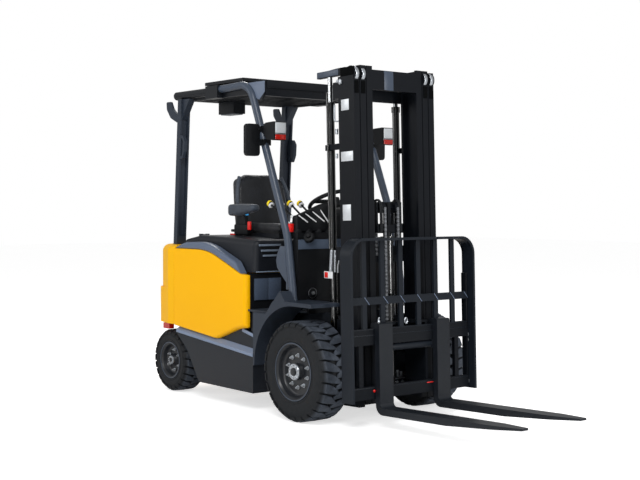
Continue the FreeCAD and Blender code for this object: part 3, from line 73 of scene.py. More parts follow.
def tinted(tree, main, pattern, shade, other):
    """Base colour that goes from one hex shade to another with a pattern."""
    colours = {"Factor": pattern, 6: linear(shade), 7: linear(other)}
    tone = add(tree, "Mix", colours, data_type="RGBA")
    tree.links.new(tone.outputs[2], main.inputs["Base Color"])


def clouded(tree, main, pattern, least, most):
    """Roughness that goes from least to most with a pattern."""
    cloudy = add(tree, "MapRange", {"Value": pattern, "To Min": least, "To Max": most})
    tree.links.new(cloudy.outputs["Result"], main.inputs["Roughness"])


def raised(tree, main, pattern, strength, depth):
    """Fine relief, depth metres high, that follows a pattern."""
    bump = add(tree, "Bump", {"Height": pattern, "Strength": strength, "Distance": depth})
    tree.links.new(bump.outputs["Normal"], main.inputs["Normal"])


def stove_paint(name, shade, dust, roughness=0.4, gloss=0.22, peel_mm=0.3, coat=0.04):
    """Sprayed and baked paint: orange peel some 6 mm across, cloudy gloss, scuffs and low dust."""
    made, tree, main, where = finish(name, Specular_IOR_Level=gloss, Coat_Weight=coat, Coat_Roughness=0.2)
    cloud = add(tree, "TexNoise", {"Vector": where, "Scale": 7, "Detail": 6, "Roughness": 0.65})
    clouded(tree, main, cloud.outputs["Fac"], roughness - 0.1, roughness + 0.12)
    height = add(tree, "SeparateXYZ", {"Vector": where}).outputs["Z"]
    low = add(tree, "MapRange", {"Value": height, "From Min": 0.8, "From Max": 0.05, "To Max": 0.45})
    grime = add(tree, "Math", {0: low.outputs["Result"], 1: cloud.outputs["Fac"]}, operation="MULTIPLY")
    scuff = add(tree, "TexNoise", {"Vector": where, "Scale": 60, "Detail": 8, "Roughness": 0.8})
    scuffed = {"Value": scuff.outputs["Fac"], "From Min": 0.62, "From Max": 0.8, "To Max": 0.25}
    sparse = add(tree, "MapRange", scuffed)
    both = add(tree, "Math", {0: grime.outputs["Value"], 1: sparse.outputs["Result"]}, operation="MAXIMUM")
    tinted(tree, main, both.outputs["Value"], shade, dust)
    peel = add(tree, "TexNoise", {"Vector": where, "Scale": 1000 / 6.25, "Detail": 2})
    raised(tree, main, peel.outputs["Fac"], 0.25, peel_mm / 1000)
    return made


def dress(paint, *names):
    """Give CAD nodes one finish."""
    for name in names:
        nodes[name].data.materials.clear()
        nodes[name].data.materials.append(paint)


def slab(low, high, edge, steps=2):
    """A cube stretched between two corners, with all its edges bevelled."""
    bpy.ops.object.select_all(action="DESELECT")
    middle = [(a + b) / 2 for a, b in zip(low, high)]
    bpy.ops.mesh.primitive_cube_add(size=1, location=middle, scale=[b - a for a, b in zip(low, high)])
    bpy.ops.object.transform_apply(location=True, rotation=True, scale=True)
    bpy.ops.object.mode_set(mode="EDIT")
    bpy.ops.mesh.select_all(action="SELECT")
    bpy.ops.mesh.bevel(offset=edge, segments=steps, affect="EDGES")
    bpy.ops.object.mode_set(mode="OBJECT")
    return bpy.context.object


def drum(centre, along, radius, length, edge, sides=40, steps=2):
    """A cylinder about the direction along, with both rims bevelled."""
    bpy.ops.object.select_all(action="DESELECT")
    turn = Vector(along).to_track_quat("Z", "Y").to_euler()
    bpy.ops.mesh.primitive_cylinder_add(vertices=sides, radius=radius, depth=length, location=centre,
                                        rotation=turn)
    bpy.ops.object.transform_apply(location=True, rotation=True, scale=True)
    made = bpy.context.object
    for face in made.data.polygons:
        face.select = len(face.vertices) > 4
    bpy.ops.object.mode_set(mode="EDIT")
    bpy.ops.mesh.select_mode(type="FACE")
    bpy.ops.mesh.bevel(offset=edge, segments=steps, affect="EDGES")
    bpy.ops.object.mode_set(mode="OBJECT")
    return made


def pipe(points, radius):
    """A round pipe or hose along a smooth line through its points."""
    line = bpy.data.curves.new("pipe_line", "CURVE")
    line.dimensions = "3D"
    line.bevel_depth = radius
    line.bevel_resolution = 4
    line.resolution_u = 10
    line.use_fill_caps = True
    run = line.splines.new("NURBS")
    run.points.add(len(points) - 1)
    for point, place in zip(run.points, points):
        point.co = (*place, 1)
    run.order_u = 3
    run.use_endpoint_u = True
    made = bpy.data.objects.new("pipe", line)
    bpy.context.collection.objects.link(made)
    bpy.ops.object.select_all(action="DESELECT")
    made.select_set(True)
    bpy.context.view_layer.objects.active = made
    bpy.ops.object.convert(target="MESH")
    return bpy.context.object


def joined(parts):
    """Several meshes made one."""
    bpy.ops.object.select_all(action="DESELECT")
    for part in parts:
        part.select_set(True)
    bpy.context.view_layer.objects.active = parts[0]
    if len(parts) > 1:
        bpy.ops.object.join()
    return bpy.context.object


def copies(part, places):
    """A copy with its own mesh at each placement matrix; the first placement is the part's own."""
    made = []
    for place in places:
        bpy.ops.object.select_all(action="DESELECT")
        part.select_set(True)
        bpy.context.view_layer.objects.active = part
        bpy.ops.object.duplicate()
        copy = bpy.context.object
        copy.data.transform(place)
        made.append(copy)
    bpy.data.objects.remove(part, do_unlink=True)
    return made


def piece(name, made, paint, body, smooth=30):
    """Name a finished mesh, give it its paint and put it on its body."""
    made.name = name
    made.data.name = name
    made.data.materials.clear()
    made.data.materials.append(paint)
    bpy.ops.object.select_all(action="DESELECT")
    made.select_set(True)
    bpy.context.view_layer.objects.active = made
    bpy.ops.object.mode_set(mode="EDIT")
    bpy.ops.mesh.select_all(action="SELECT")
    bpy.ops.mesh.normals_make_consistent(inside=False)
    bpy.ops.object.mode_set(mode="OBJECT")
    bpy.ops.object.shade_smooth_by_angle(angle=math.radians(smooth))
    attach(made, body)
    return made


MIRROR_Y = Matrix.Scale(-1, 4, (0, 1, 0))
STAY = Matrix.Identity(4)
SIDES = ("right", "left")


def both_sides(part):
    """A piece modelled on the truck's right with its mirror image on the left, as one mesh."""
    return joined(copies(part, (STAY, MIRROR_Y)))


slate_paint = stove_paint("slate_stove_paint", "#1D2127", "#33343A")
dress(slate_paint, "chassis_frame", "battery_block", "drive_axle", "steer_axle")
dress(slate_paint, "knuckle_right", "knuckle_left")

# Skirt highlights: thin bands laid over the bevel along each flank and down its edge,
# and a short one ahead of each side cover. Their light slate is a painted highlight where
# the bevel faces up into the light, one broad pale line between the yellow panels and the
# nearly black skirt.
STRIP_OUT = 0.0024
STRIP_UP = 0.0012
highlight_paint = stove_paint("light_slate_painted_highlight", "#7C8BA4", "#70798B", roughness=0.36, gloss=0.3)
STRIPS = (
    # name, rear x, rear top z, front x, front top z, outer y, inner y, drop
    ("skirt_highlight", -1.222, 0.4795, -0.304, 0.3975, 0.5655, 0.5195, 0.0255),
    ("skirt_edge_highlight", -1.222, 0.4540, -0.304, 0.3720, 0.5655, 0.5650, 0.0200),
    ("sill_highlight", -0.470, 0.5195, -0.305, 0.4835, 0.5320, 0.5290, 0.020),
)
for name, rear, rear_z, front, front_z, outer, inner, drop in STRIPS:
    band = slab((rear, -outer, rear_z - drop), (front, -inner, rear_z), 0.0006)
    for corner in band.data.vertices:
        along = (corner.co.x - rear) / (front - rear)
        down = (rear_z - corner.co.z) / drop
        thick = (corner.co.y + outer) / (outer - inner)
        edge_y = -inner + (inner - outer) * down
        top_z = rear_z + along * (front_z - rear_z)
        corner.co = (corner.co.x, edge_y - STRIP_OUT + 0.0020 * thick,
                     top_z - down * drop + STRIP_UP * (1 - thick))
    piece(name, both_sides(band), highlight_paint, "chassis")

# Counterweight: a filled iron casting in thick satin yellow, slightly wavy from the mould.
# The side covers are pressed panels in the same yellow, with a finer peel, and turn a
# little deeper where road dust lies low on them.
cover_paint = stove_paint("safety_yellow_paint", "#FFBC00", "#F0A000", roughness=0.34, gloss=0.12,
                          peel_mm=0.15, coat=0.0)
casting_paint = stove_paint("casting_yellow_paint", "#FFBE00", "#E89E00", roughness=0.38, gloss=0.12,
                            peel_mm=0.8, coat=0.0)
dress(cover_paint, "side_covers")
dress(casting_paint, "counterweight")

# Rear reflectors: red acrylic blocks screwed under the counterweight's corners. Small
# prisms moulded in their backs, 4 mm across, break the red up into light and dark cells.
red_acrylic, tree, main, where = finish("red_acrylic_lens", Roughness=0.12, Coat_Weight=0.6)
prisms = add(tree, "TexVoronoi", {"Vector": where, "Scale": 250})
tinted(tree, main, prisms.outputs["Distance"], "#7A0A06", "#D8200F")
dress(red_acrylic, "rear_lamps")

# Sloped trims beside the hood, guard legs and tubes: slate-grey paint on steel, lighter
# than the frame, so the tubes show a soft band of light along them.
trim_paint = stove_paint("slate_grey_trim_paint", "#5E6A7E", "#5A5F68", roughness=0.38, gloss=0.3)
# The tube paint also draws the rims' painted highlight ring.
tube_paint_and_rim_highlight = stove_paint("slate_grey_tube_paint_and_rim_highlight", "#3E4857", "#4C5058", roughness=0.34, gloss=0.4)
leg_paint = stove_paint("dark_slate_leg_paint", "#2C333E", "#3D4148", roughness=0.38)
dress(trim_paint, "belt_trims")
dress(tube_paint_and_rim_highlight, "guard_front_legs")
dress(leg_paint, "guard_rear_legs", "fenders")
dress(stove_paint("roof_frame_paint", "#14171C", "#2B2E33", roughness=0.4), "guard_roof")
dress(stove_paint("floor_plate_paint", "#30363F", "#45474A", roughness=0.55), "floor_plate", "hood_hinges")

# Cowl, seat box front, dash pod, lever console and hood: black ABS mouldings. Their tool
# grain of about 1.6 mm scatters the light, so they show as soft charcoal, not as gloss.


def moulding(name, shade, grain_mm=1.6, roughness=0.5, depth=0.3, gloss=0.2):
    """Injection-moulded plastic with a pebbled tool grain, drawn a little coarse so that it shows."""
    made, tree, main, where = finish(name, Specular_IOR_Level=gloss)
    pebbles = add(tree, "TexVoronoi", {"Vector": where, "Scale": 1000 / grain_mm})
    cloud = add(tree, "TexNoise", {"Vector": where, "Scale": 9, "Detail": 5})
    clouded(tree, main, cloud.outputs["Fac"], roughness - 0.1, roughness + 0.12)
    paler = [min(1, 1.6 * c + 0.004) for c in linear(shade)[:3]] + [1]
    tone = add(tree, "Mix", {"Factor": cloud.outputs["Fac"], 6: linear(shade), 7: paler}, data_type="RGBA")
    tree.links.new(tone.outputs[2], main.inputs["Base Color"])
    raised(tree, main, pebbles.outputs["Distance"], depth, 0.0005)
    return made


# Black is for the cab's mouldings and for the painted shade in the louvre opening. The
# hood's own black has a coarser grain and shines a little more, and two slates set the cowl
# band and the louvre slats off from them; the lighter one also draws a painted highlight
# along the hood's lower edge.
black_abs_and_shade = moulding("grained_black_abs_and_painted_shade", "#0A0C0F")
hood_abs = moulding("grained_hood_abs", "#14171D", grain_mm=2.2, roughness=0.42, gloss=0.25)
grey_abs = moulding("grained_slate_abs", "#3E4857", roughness=0.5)
slat_and_edge_highlight_abs = moulding("light_slate_abs_and_painted_highlight", "#66717F", roughness=0.45)
dress(black_abs_and_shade, "cowl", "steering_column", "levers", "steering_wheel")
dress(black_abs_and_shade, "mirrors", "seat_box_front", "headlamps")
dress(hood_abs, "hood")

# Vent panels of the seat box: perforated sheet steel, two leaves a side with a gap between
# them, in slate. The holes stand 5.3 mm apart and read as a fine dark speckle.
vent_sheet, tree, main, where = finish("perforated_slate_sheet", Specular_IOR_Level=0.35, Roughness=0.5)
holes = add(tree, "TexVoronoi", {"Vector": where, "Scale": 190, "Randomness": 0.15})
speck = add(tree, "MapRange", {"Value": holes.outputs["Distance"], "From Min": 0.25, "From Max": 0.5})
tinted(tree, main, speck.outputs["Result"], "#262C35", "#56647A")
VENT_BACK_X, VENT_FACE_X = -0.381, -0.3775
VENT_LOW, VENT_HIGH = 0.705, 0.845
LEAVES = ((-0.501, -0.3925), (-0.3895, -0.286))
leaves = [slab((VENT_BACK_X, near, VENT_LOW), (VENT_FACE_X, far, VENT_HIGH), 0.0012) for near, far in LEAVES]
piece("vent_leaves", both_sides(joined(leaves)), vent_sheet, "chassis")

# Hood louvres: three light slate slats at the right front corner of the hood, each shorter
# than the one above, clipped over a black panel of painted shade for the dark opening
# behind them, and a light slate strip of painted highlight along the hood's lower front edge.
LOUVRES = (
    # height, outer y, inner y
    (1.060, -0.472, -0.296),
    (1.025, -0.456, -0.312),
    (0.992, -0.440, -0.328),
)
HALF_SLAT = 0.0065
slats = []
for height, near, far in LOUVRES:
    slats.append(slab((-0.371, near, height - HALF_SLAT), (-0.3635, far, height + HALF_SLAT), 0.002))
piece("louvre_slats", joined(slats), slat_and_edge_highlight_abs, "hood")
# A black panel of painted shade, standing for the dark opening between the slats.
shade_panel = slab((-0.372, -0.466, 0.994), (-0.3665, -0.302, 1.058), 0.0015)
SHADE_PANEL_TAPER = 0.026
for corner in shade_panel.data.vertices:
    if corner.co.z < 1.02:
        corner.co.y += SHADE_PANEL_TAPER if corner.co.y < -0.38 else -SHADE_PANEL_TAPER
piece("louvre_painted_shade", shade_panel, black_abs_and_shade, "hood")
# A light slate strip of painted highlight along the hood's lower front edge.
edge_highlight = slab((-0.3705, -0.494, 0.884), (-0.3655, 0.494, 0.892), 0.002)
piece("hood_edge_highlight", edge_highlight, slat_and_edge_highlight_abs, "hood")

# Cowl band: a slate moulding clipped across the top of the cowl's front, and below it a
# round black filler cap. The cap's ring and boss are turned steel, faintly streaked, and
# give the dark cowl one small glint.
band = slab((-0.0118, -0.428, 1.044), (-0.0072, 0.428, 1.104), 0.0016)
piece("cowl_band", band, grey_abs, "chassis")
steel, tree, main, where = finish("turned_bright_steel", Metallic=1, Base_Color=linear("#B9BDC2"))
streaks = add(tree, "TexNoise", {"Vector": where, "Scale": 220, "Detail": 6})
clouded(tree, main, streaks.outputs["Fac"], 0.18, 0.42)
FILLER_Y, FILLER_Z = -0.322, 0.768
cap = drum((-0.004, FILLER_Y, FILLER_Z), (1, 0, 0), 0.031, 0.014, 0.003)
piece("filler_cap", cap, black_abs_and_shade, "chassis")
boss = drum((0.006, FILLER_Y, FILLER_Z), (1, 0, 0), 0.013, 0.012, 0.003, sides=24)
ring = drum((0.0, FILLER_Y, FILLER_Z), (1, 0, 0), 0.0335, 0.004, 0.0015)
piece("filler_ring", joined([boss, ring]), steel, "chassis")

# Headlamps: a ribbed glass with the silver reflector showing through it, drawn as one
# silvery face, and a red turn lamp under it. Both are clipped into the black shells that
# hex nuts clamp to the front tubes.
glass_silver, tree, main, where = finish("ribbed_headlamp_glass", Roughness=0.15, Coat_Weight=0.8)
ribs = add(tree, "TexWave", {"Vector": where, "Scale": 42, "Distortion": 0.6}, bands_direction="Y")
tinted(tree, main, ribs.outputs["Fac"], "#8F979F", "#F2F5F7")
LAMP_BACK_X = -0.162
LAMP_OUTER_Y, LAMP_INNER_Y = -0.496, -0.414
lens = slab((LAMP_BACK_X, LAMP_OUTER_Y, 1.771), (-0.156, LAMP_INNER_Y, 1.838), 0.0025, steps=3)
rim = slab((-0.160, LAMP_OUTER_Y - 0.0025, 1.7645), (-0.1575, LAMP_INNER_Y + 0.0025, 1.7685), 0.0008)
piece("headlamp_glasses", both_sides(lens), glass_silver, "chassis")
piece("headlamp_rims", both_sides(rim), steel, "chassis")
turn_lens = slab((LAMP_BACK_X, LAMP_OUTER_Y, 1.7305), (-0.1555, LAMP_INNER_Y, 1.7625), 0.004, steps=3)
piece("turn_lamp_glasses", both_sides(turn_lens), red_acrylic, "chassis")
CLAMP_NUTS = ((-0.352, 1.719), (-0.312, 1.719), (-0.350, 1.803), (-0.382, 1.803))
nuts = [drum((x, -0.4885, z), (0, 1, 0), 0.006, 0.006, 0.001, sides=6) for x, z in CLAMP_NUTS]
piece("lamp_clamp_nuts", both_sides(joined(nuts)), steel, "chassis")

# Dome lamp under the roof: a frosted glass set in a black housing. Its slightly rippled
# face stays a dull grey, as the lamp is off.
frosted, tree, main, where = finish("frosted_lamp_glass", Roughness=0.4, Base_Color=linear("#5C636C"))
ripple = add(tree, "TexNoise", {"Vector": where, "Scale": 90, "Detail": 3})
raised(tree, main, ripple.outputs["Fac"], 0.3, 0.0006)
dome = slab((-1.300, -0.140, 1.962), (-1.140, -0.060, 1.9685), 0.002)
piece("dome_lamp_glass", dome, frosted, "chassis")

# Seat cushion: foam under black vinyl, sewn to a low crown with a raised roll along either
# side. It is swelled by cloth simulation from a smaller form and rests on the hood.


def vinyl(name, shade, paler, grain_mm=1.8):
    """Coated cloth with a fine leather grain; creases and rubbed edges show a little paler."""
    made, tree, main, where = finish(name, Specular_IOR_Level=0.4, Sheen_Weight=0.15)
    grain = add(tree, "TexVoronoi", {"Vector": where, "Scale": 1000 / grain_mm}, feature="SMOOTH_F1")
    cloud = add(tree, "TexNoise", {"Vector": where, "Scale": 14, "Detail": 6, "Roughness": 0.7})
    rubbed = add(tree, "MapRange", {"Value": cloud.outputs["Fac"], "From Min": 0.35, "From Max": 0.75})
    tinted(tree, main, rubbed.outputs["Result"], shade, paler)
    clouded(tree, main, cloud.outputs["Fac"], 0.34, 0.62)
    fine = add(tree, "Bump", {"Height": grain.outputs["Distance"], "Strength": 0.35, "Distance": 0.0006})
    folds = add(tree, "Bump", {"Height": cloud.outputs["Fac"], "Strength": 0.3, "Distance": 0.006,
                               "Normal": fine.outputs["Normal"]})
    tree.links.new(folds.outputs["Normal"], main.inputs["Normal"])
    return made


def inflated(form, most):
    """Foam under a cover: remesh the form, let pressure swell it, cap how far a point goes, smooth it."""
    bpy.ops.object.select_all(action="DESELECT")
    form.select_set(True)
    bpy.context.view_layer.objects.active = form
    remesh = form.modifiers.new("remesh", "REMESH")
    remesh.mode = "VOXEL"
    remesh.voxel_size = 0.006
    bpy.ops.object.modifier_apply(modifier="remesh")
    start = [corner.co.copy() for corner in form.data.vertices]
    cloth = form.modifiers.new("foam", "CLOTH")
    cloth.settings.use_pressure = True
    cloth.settings.uniform_pressure_force = 4
    cloth.settings.effector_weights.gravity = 0
    cloth.settings.tension_stiffness = 12
    cloth.settings.quality = 4
    for step in range(1, 21):
        bpy.context.scene.frame_set(step)
    bpy.ops.object.modifier_apply(modifier="foam")
    for corner, first in zip(form.data.vertices, start):
        moved = corner.co - first
        if moved.length > most:
            corner.co = first + moved * (most / moved.length)
    smooth = form.modifiers.new("smooth", "SMOOTH")
    smooth.iterations = 4
    bpy.ops.object.modifier_apply(modifier="smooth")
    round_off = form.modifiers.new("round", "SUBSURF")
    round_off.levels = round_off.render_levels = 1
    bpy.ops.object.modifier_apply(modifier="round")
    return form


def divided(form, cuts):
    """A denser mesh to shape by moving its corners."""
    bpy.ops.object.mode_set(mode="EDIT")
    bpy.ops.mesh.select_all(action="SELECT")
    bpy.ops.mesh.subdivide(number_cuts=cuts)
    bpy.ops.object.mode_set(mode="OBJECT")
    return form


# Near-black vinyl covers the pads, and a paler slate the side rolls and the armrest.
seat_vinyl = vinyl("black_seat_vinyl", "#101318", "#1C2028")
bolster_vinyl = vinyl("slate_bolster_vinyl", "#2A313B", "#414B59")
SEAT_HALF = 0.230
SEAT_SWELL = 0.009
cushion = divided(slab((-0.928, -SEAT_HALF, 1.1375), (-0.483, SEAT_HALF, 1.186), 0.020, steps=3), 3)
for corner in cushion.data.vertices:
    co = corner.co
    side = abs(co.y) / 0.228
    if co.z > 1.15:
        co.z += 0.006 * math.exp(-((side - 0.86) / 0.12) ** 2) - 0.004 * (1 - side)
    if co.x > -0.55 and co.z > 1.15:
        co.z -= 0.10 * (co.x + 0.55)
cushion = inflated(cushion, SEAT_SWELL)
piece("seat_cushion_pad", cushion, seat_vinyl, "hood", smooth=60)
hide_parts("seat_cushion")

# Seat back: a pad of the same foam and vinyl, bolted to the pan. It leans back, narrows to
# rounded shoulders, and its front has a raised roll along either side.
BACK_LEAN = 0.072
squab = divided(slab((-1.004, -SEAT_HALF, 1.150), (-0.948, SEAT_HALF, 1.540), 0.020, steps=3), 4)
for corner in squab.data.vertices:
    co = corner.co
    rise = (co.z - 1.15) / 0.39
    side = abs(co.y) / 0.226
    inward = 1 - 0.17 * max(0, rise - 0.35) ** 1.3
    top = max(0, (side - 0.62) / 0.38)
    co.z -= 0.055 * top ** 2.2 * max(0, rise) ** 3
    co.y *= inward
    co.x -= BACK_LEAN * rise
    if co.x > -0.99 - BACK_LEAN * rise:
        co.x += 0.018 * math.exp(-((side - 0.9) / 0.12) ** 2) * (1 - 0.5 * rise)
squab = inflated(squab, SEAT_SWELL)
piece("seat_back_pad", squab, seat_vinyl, "hood", smooth=60)
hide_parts("seat_back")

# Seat side rolls: welts of smoother slate vinyl sewn along both edges of the backrest, a
# pale line that sets the seat off from the black pads.
WELT = ((-0.952, -0.205, 1.20), (-0.958, -0.232, 1.30), (-0.985, -0.214, 1.44), (-1.012, -0.180, 1.515))
welts = both_sides(pipe(WELT, 0.013))
piece("seat_back_bolsters", welts, bolster_vinyl, "hood", smooth=60)

# Seat pan and buckle: a black pan bolted under the backrest, with the belt's red buckle
# and catch beside it. The red is moulded through, smooth and fairly glossy.
pan = slab((-1.036, -0.236, 1.131), (-0.944, 0.236, 1.150), 0.006)
piece("seat_pan", pan, black_abs_and_shade, "hood")
red_abs = moulding("red_abs", "#D01812", grain_mm=3, roughness=0.35, depth=0.1, gloss=0.5)
buckle = slab((-0.728, -0.312, 1.150), (-0.698, -0.296, 1.208), 0.005)
flag = slab((-0.950, -0.302, 1.1125), (-0.885, -0.262, 1.122), 0.003)
piece("belt_buckle", joined([buckle, flag]), red_abs, "hood")

# Armrest: foam under slate vinyl, thinner at its front end, on a moulded post and shroud
# screwed to the hood beside the seat. A small blue button is set in the pad's side.
rest = divided(slab((-0.948, -0.328, 1.244), (-0.640, -0.262, 1.324), 0.020, steps=3), 2)
for corner in rest.data.vertices:
    if corner.co.z < 1.29:
        corner.co.z += 0.034 * max(0, (corner.co.x + 0.82) / 0.18)
rest = inflated(rest, 0.004)
piece("armrest_pad", rest, bolster_vinyl, "hood", smooth=60)
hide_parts("armrest")
HOOD_TOP, POST_TOP = 1.1115, 1.276
post = slab((-0.868, -0.300, HOOD_TOP), (-0.792, -0.258, POST_TOP), 0.010, steps=3)
for corner in post.data.vertices:
    corner.co.x += 0.03 * (POST_TOP - corner.co.z) / 0.16 * (1 if corner.co.x > -0.83 else -0.6)
shroud = slab((-0.900, -0.306, HOOD_TOP), (-0.745, -0.252, 1.190), 0.014, steps=3)
piece("armrest_post", joined([post, shroud]), black_abs_and_shade, "hood")
blue_abs = moulding("blue_abs", "#1E8FD0", grain_mm=3, roughness=0.35, depth=0.1, gloss=0.5)
button = slab((-0.762, -0.3035, 1.248), (-0.728, -0.2975, 1.270), 0.003)
piece("armrest_button", button, blue_abs, "hood")

# Hydraulic levers: four steel rods, each in a ringed rubber boot, with white sleeves on
# their lower halves that are a painted highlight along the bright rods, and two-colour knobs,
# yellow moulded caps over white collars. A red switch sits beside them. The white and
# yellow are the cab's only light spots.
white_and_rod_highlight_paint = stove_paint("white_paint_and_rod_highlight", "#F1F3F5", "#C9CCD0", roughness=0.3)
yellow_abs = moulding("yellow_abs", "#F6C200", grain_mm=3, roughness=0.35, depth=0.1, gloss=0.5)
rubber_boot = moulding("black_boot_rubber", "#17191C", grain_mm=2, roughness=0.6)
LEVER_Y = tuple(-0.154 - 0.081 * i for i in range(4))
lean_back = Vector((-0.294, 0, 0.188)).normalized()
BOOT_FOOT, BOOT_RING = 1.151, 0.0065
rod_highlights, caps, boots, bands = [], [], [], []
for level in LEVER_Y:
    foot = Vector((-0.055, level, 1.140))
    rod_highlights.append(drum(foot + lean_back * 0.140, lean_back, 0.0095, 0.130, 0.002, sides=20))
    caps.append(drum(foot + lean_back * 0.352, lean_back, 0.0205, 0.024, 0.008, sides=24))
    bands.append(drum(foot + lean_back * 0.331, lean_back, 0.0200, 0.010, 0.003, sides=24))
    for ring in range(4):
        fold = (-0.0585, level, BOOT_FOOT + BOOT_RING * ring)
        boots.append(drum(fold, (0, 0, 1), 0.0285 - 0.0042 * ring, 0.0058, 0.0022, sides=24))
# The white sleeves are painted highlight along the rods' lower halves.
piece("lever_rod_highlights", joined(rod_highlights), white_and_rod_highlight_paint, "chassis")
piece("lever_caps", joined(caps), yellow_abs, "chassis")
piece("lever_cap_bands", joined(bands), white_and_rod_highlight_paint, "chassis")
piece("lever_boots", joined(boots), rubber_boot, "chassis")
switch = slab((-0.118, -0.4495, 1.150), (-0.066, -0.4185, 1.204), 0.005)
piece("stop_switch", switch, red_abs, "chassis")

# Lever housing: a soft black moulding over the levers' linkage, higher towards the dash,
# with four white lines on its front, and the round black cover of the hose clamp at its
# foot. It stands clear of the lift cylinders with the mast tilted back.
cover = divided(slab((-0.106, -0.416, 1.1465), (-0.043, -0.126, 1.262), 0.016, steps=3), 2)
for corner in cover.data.vertices:
    co = corner.co
    if co.z > 1.18:
        co.z += 0.075 * (co.y + 0.416) / 0.29 - 0.012 * math.sin(co.y * 60)
        co.x += 0.018 * (co.z - 1.18) / 0.1 * (1 if co.x < -0.07 else 0)
piece("lever_housing", cover, black_abs_and_shade, "chassis")
STRIPES = (
    # upper y, upper z, lower y, lower z
    (-0.396, 1.254, -0.330, 1.212),
    (-0.345, 1.266, -0.262, 1.214),
    (-0.290, 1.279, -0.196, 1.216),
    (-0.226, 1.290, -0.148, 1.196),
)
stripes = []
for y, z, low_y, low_z in STRIPES:
    halfway = (-0.0415, (y + low_y) / 2, (z + low_z) / 2)
    stripes.append(pipe(((-0.047, y, z), halfway, (-0.0405, low_y, low_z)), 0.0042))
piece("lever_housing_stripes", joined(stripes), white_and_rod_highlight_paint, "chassis")
CLAMP_TURN = (0.55, -0.6, 0.5)
wrist = drum((-0.002, -0.352, 1.118), CLAMP_TURN, 0.036, 0.030, 0.010, steps=3)
wrist_core = drum((0.006, -0.361, 1.126), CLAMP_TURN, 0.016, 0.030, 0.005, sides=32)
piece("hose_clamp_cover", joined([wrist, wrist_core]), black_abs_and_shade, "chassis")

# Side plates: pressed slate plates between hood and guard tubes that close the footwell's
# corners with a bulging rear edge, and the slate skins on the guard's gussets and roof
# panel. They carry the tubes' paint, so tube and plate read as one weldment.
PLATE_REAR, PLATE_FRONT = -0.172, -0.084
PLATE_LOW, PLATE_HIGH = 0.792, 1.062
side_plate = divided(slab((PLATE_REAR, -0.474, PLATE_LOW), (PLATE_FRONT, -0.468, PLATE_HIGH), 0.002), 5)
for corner in side_plate.data.vertices:
    co = corner.co
    rise = (co.z - PLATE_LOW) / (PLATE_HIGH - PLATE_LOW)
    bulge = math.sin(min(1, max(0, (rise - 0.2) / 0.42)) * math.pi / 2)
    back = -0.074 - 0.108 * bulge + 0.045 * max(0, (rise - 0.68) / 0.32) ** 1.5
    share = (co.x - PLATE_REAR) / (PLATE_FRONT - PLATE_REAR)
    co.x = back + share * (-0.052 - 0.040 * rise - back)
piece("corner_plates", both_sides(side_plate), tube_paint_and_rim_highlight, "chassis")
skin = slab((-0.655, -0.4525, 1.996), (-0.3335, -0.4512, 2.114), 0.0004)
for corner in skin.data.vertices:
    if corner.co.z < 2.05:
        if corner.co.x < -0.5:
            corner.co.x = -0.395
            corner.co.z = 1.9965
        else:
            corner.co.z = 2.044
piece("guard_gusset_skins", both_sides(skin), trim_paint, "chassis")
panel = slab((-1.108, -0.398, 2.1628), (-0.652, 0.398, 2.1640), 0.0005)
piece("roof_panel_skin", panel, tube_paint_and_rim_highlight, "chassis")

# Mast, carriage, backrest and forks: rolled and forged steel, welded up and sprayed in a
# thin satin black. Long faces stay nearly black, and the backrest and forks are a shade
# lighter. The cylinders' barrels are glossy, so each shows one narrow line of light. The
# notches under the rollers carry painted shade, dead matt black slabs.
mast_paint = stove_paint("mast_black_paint", "#0E1116", "#1C2026", roughness=0.4, gloss=0.14, coat=0.0)
fork_paint = stove_paint("fork_black_paint", "#14181E", "#2B2F36", roughness=0.42, gloss=0.26)
rail_paint = stove_paint("backrest_slate_paint", "#171C23", "#2A2F37", roughness=0.38, gloss=0.18, coat=0.0)
barrel_paint = stove_paint("cylinder_gloss_black", "#06080A", "#101215", roughness=0.12, gloss=0.9, coat=0.8)
notch_shade_paint = stove_paint("shaded_black_paint", "#040506", "#0A0B0D", roughness=0.7, gloss=0.05, coat=0.0)
dress(mast_paint, "mast_outer", "mast_middle", "mast_inner", "free_lift_rod", "carriage")
dress(rail_paint, "load_backrest")
dress(fork_paint, "forks")
dress(barrel_paint, "lift_barrels", "free_lift_barrel", "tilt_barrels")
# Cylinder rods: hard chrome over ground steel, mirror bright, with faint marks drawn out
# along the rod by its seal.
chrome_rod, tree, main, where = finish("hard_chromed_rod", Metallic=1, Base_Color=linear("#DDE0E3"))
drawn = add(tree, "Mapping", {"Vector": where, "Scale": (300, 300, 8)})
streaks = add(tree, "TexNoise", {"Vector": drawn.outputs["Vector"], "Scale": 1, "Detail": 3})
clouded(tree, main, streaks.outputs["Fac"], 0.06, 0.2)
dress(chrome_rod, "lift_rods", "tilt_rods")

# Leaf chains: oiled steel links, about 80 mm from one wave of the pattern to the next and
# so drawn coarser than real ones. They show as a row of dull grey glints.
chain_steel, tree, main, where = finish("oiled_chain_steel", Metallic=0.9, Base_Color=linear("#8C8F94"))
links = add(tree, "TexWave", {"Vector": where, "Scale": 12.5, "Distortion": 0.2}, bands_direction="Z")
clouded(tree, main, links.outputs["Fac"], 0.25, 0.6)
raised(tree, main, links.outputs["Fac"], 0.9, 0.004)
dress(chain_steel, "chain_front_runs", "chain_back_runs")

# Mast rollers: ground steel discs between two black cheeks, that show in front of the
# flanges at the mast's top. Turning marks cloud the steel, so it shines softly.
AXLE_X, AXLE_Z = 0.145, 0.309
MAST_LEAN = math.radians(-1.9)
AT_AXLE = Matrix.Translation((AXLE_X, 0, AXLE_Z))
MAST_PLACE = AT_AXLE @ Matrix.Rotation(MAST_LEAN, 4, "Y") @ Matrix.Translation((0, 0, -AXLE_Z))


def on_mast(made):
    """A mesh drawn on the upright mast, with x from the front axle, leaned as the mast leans."""
    made.data.transform(MAST_PLACE)
    return made


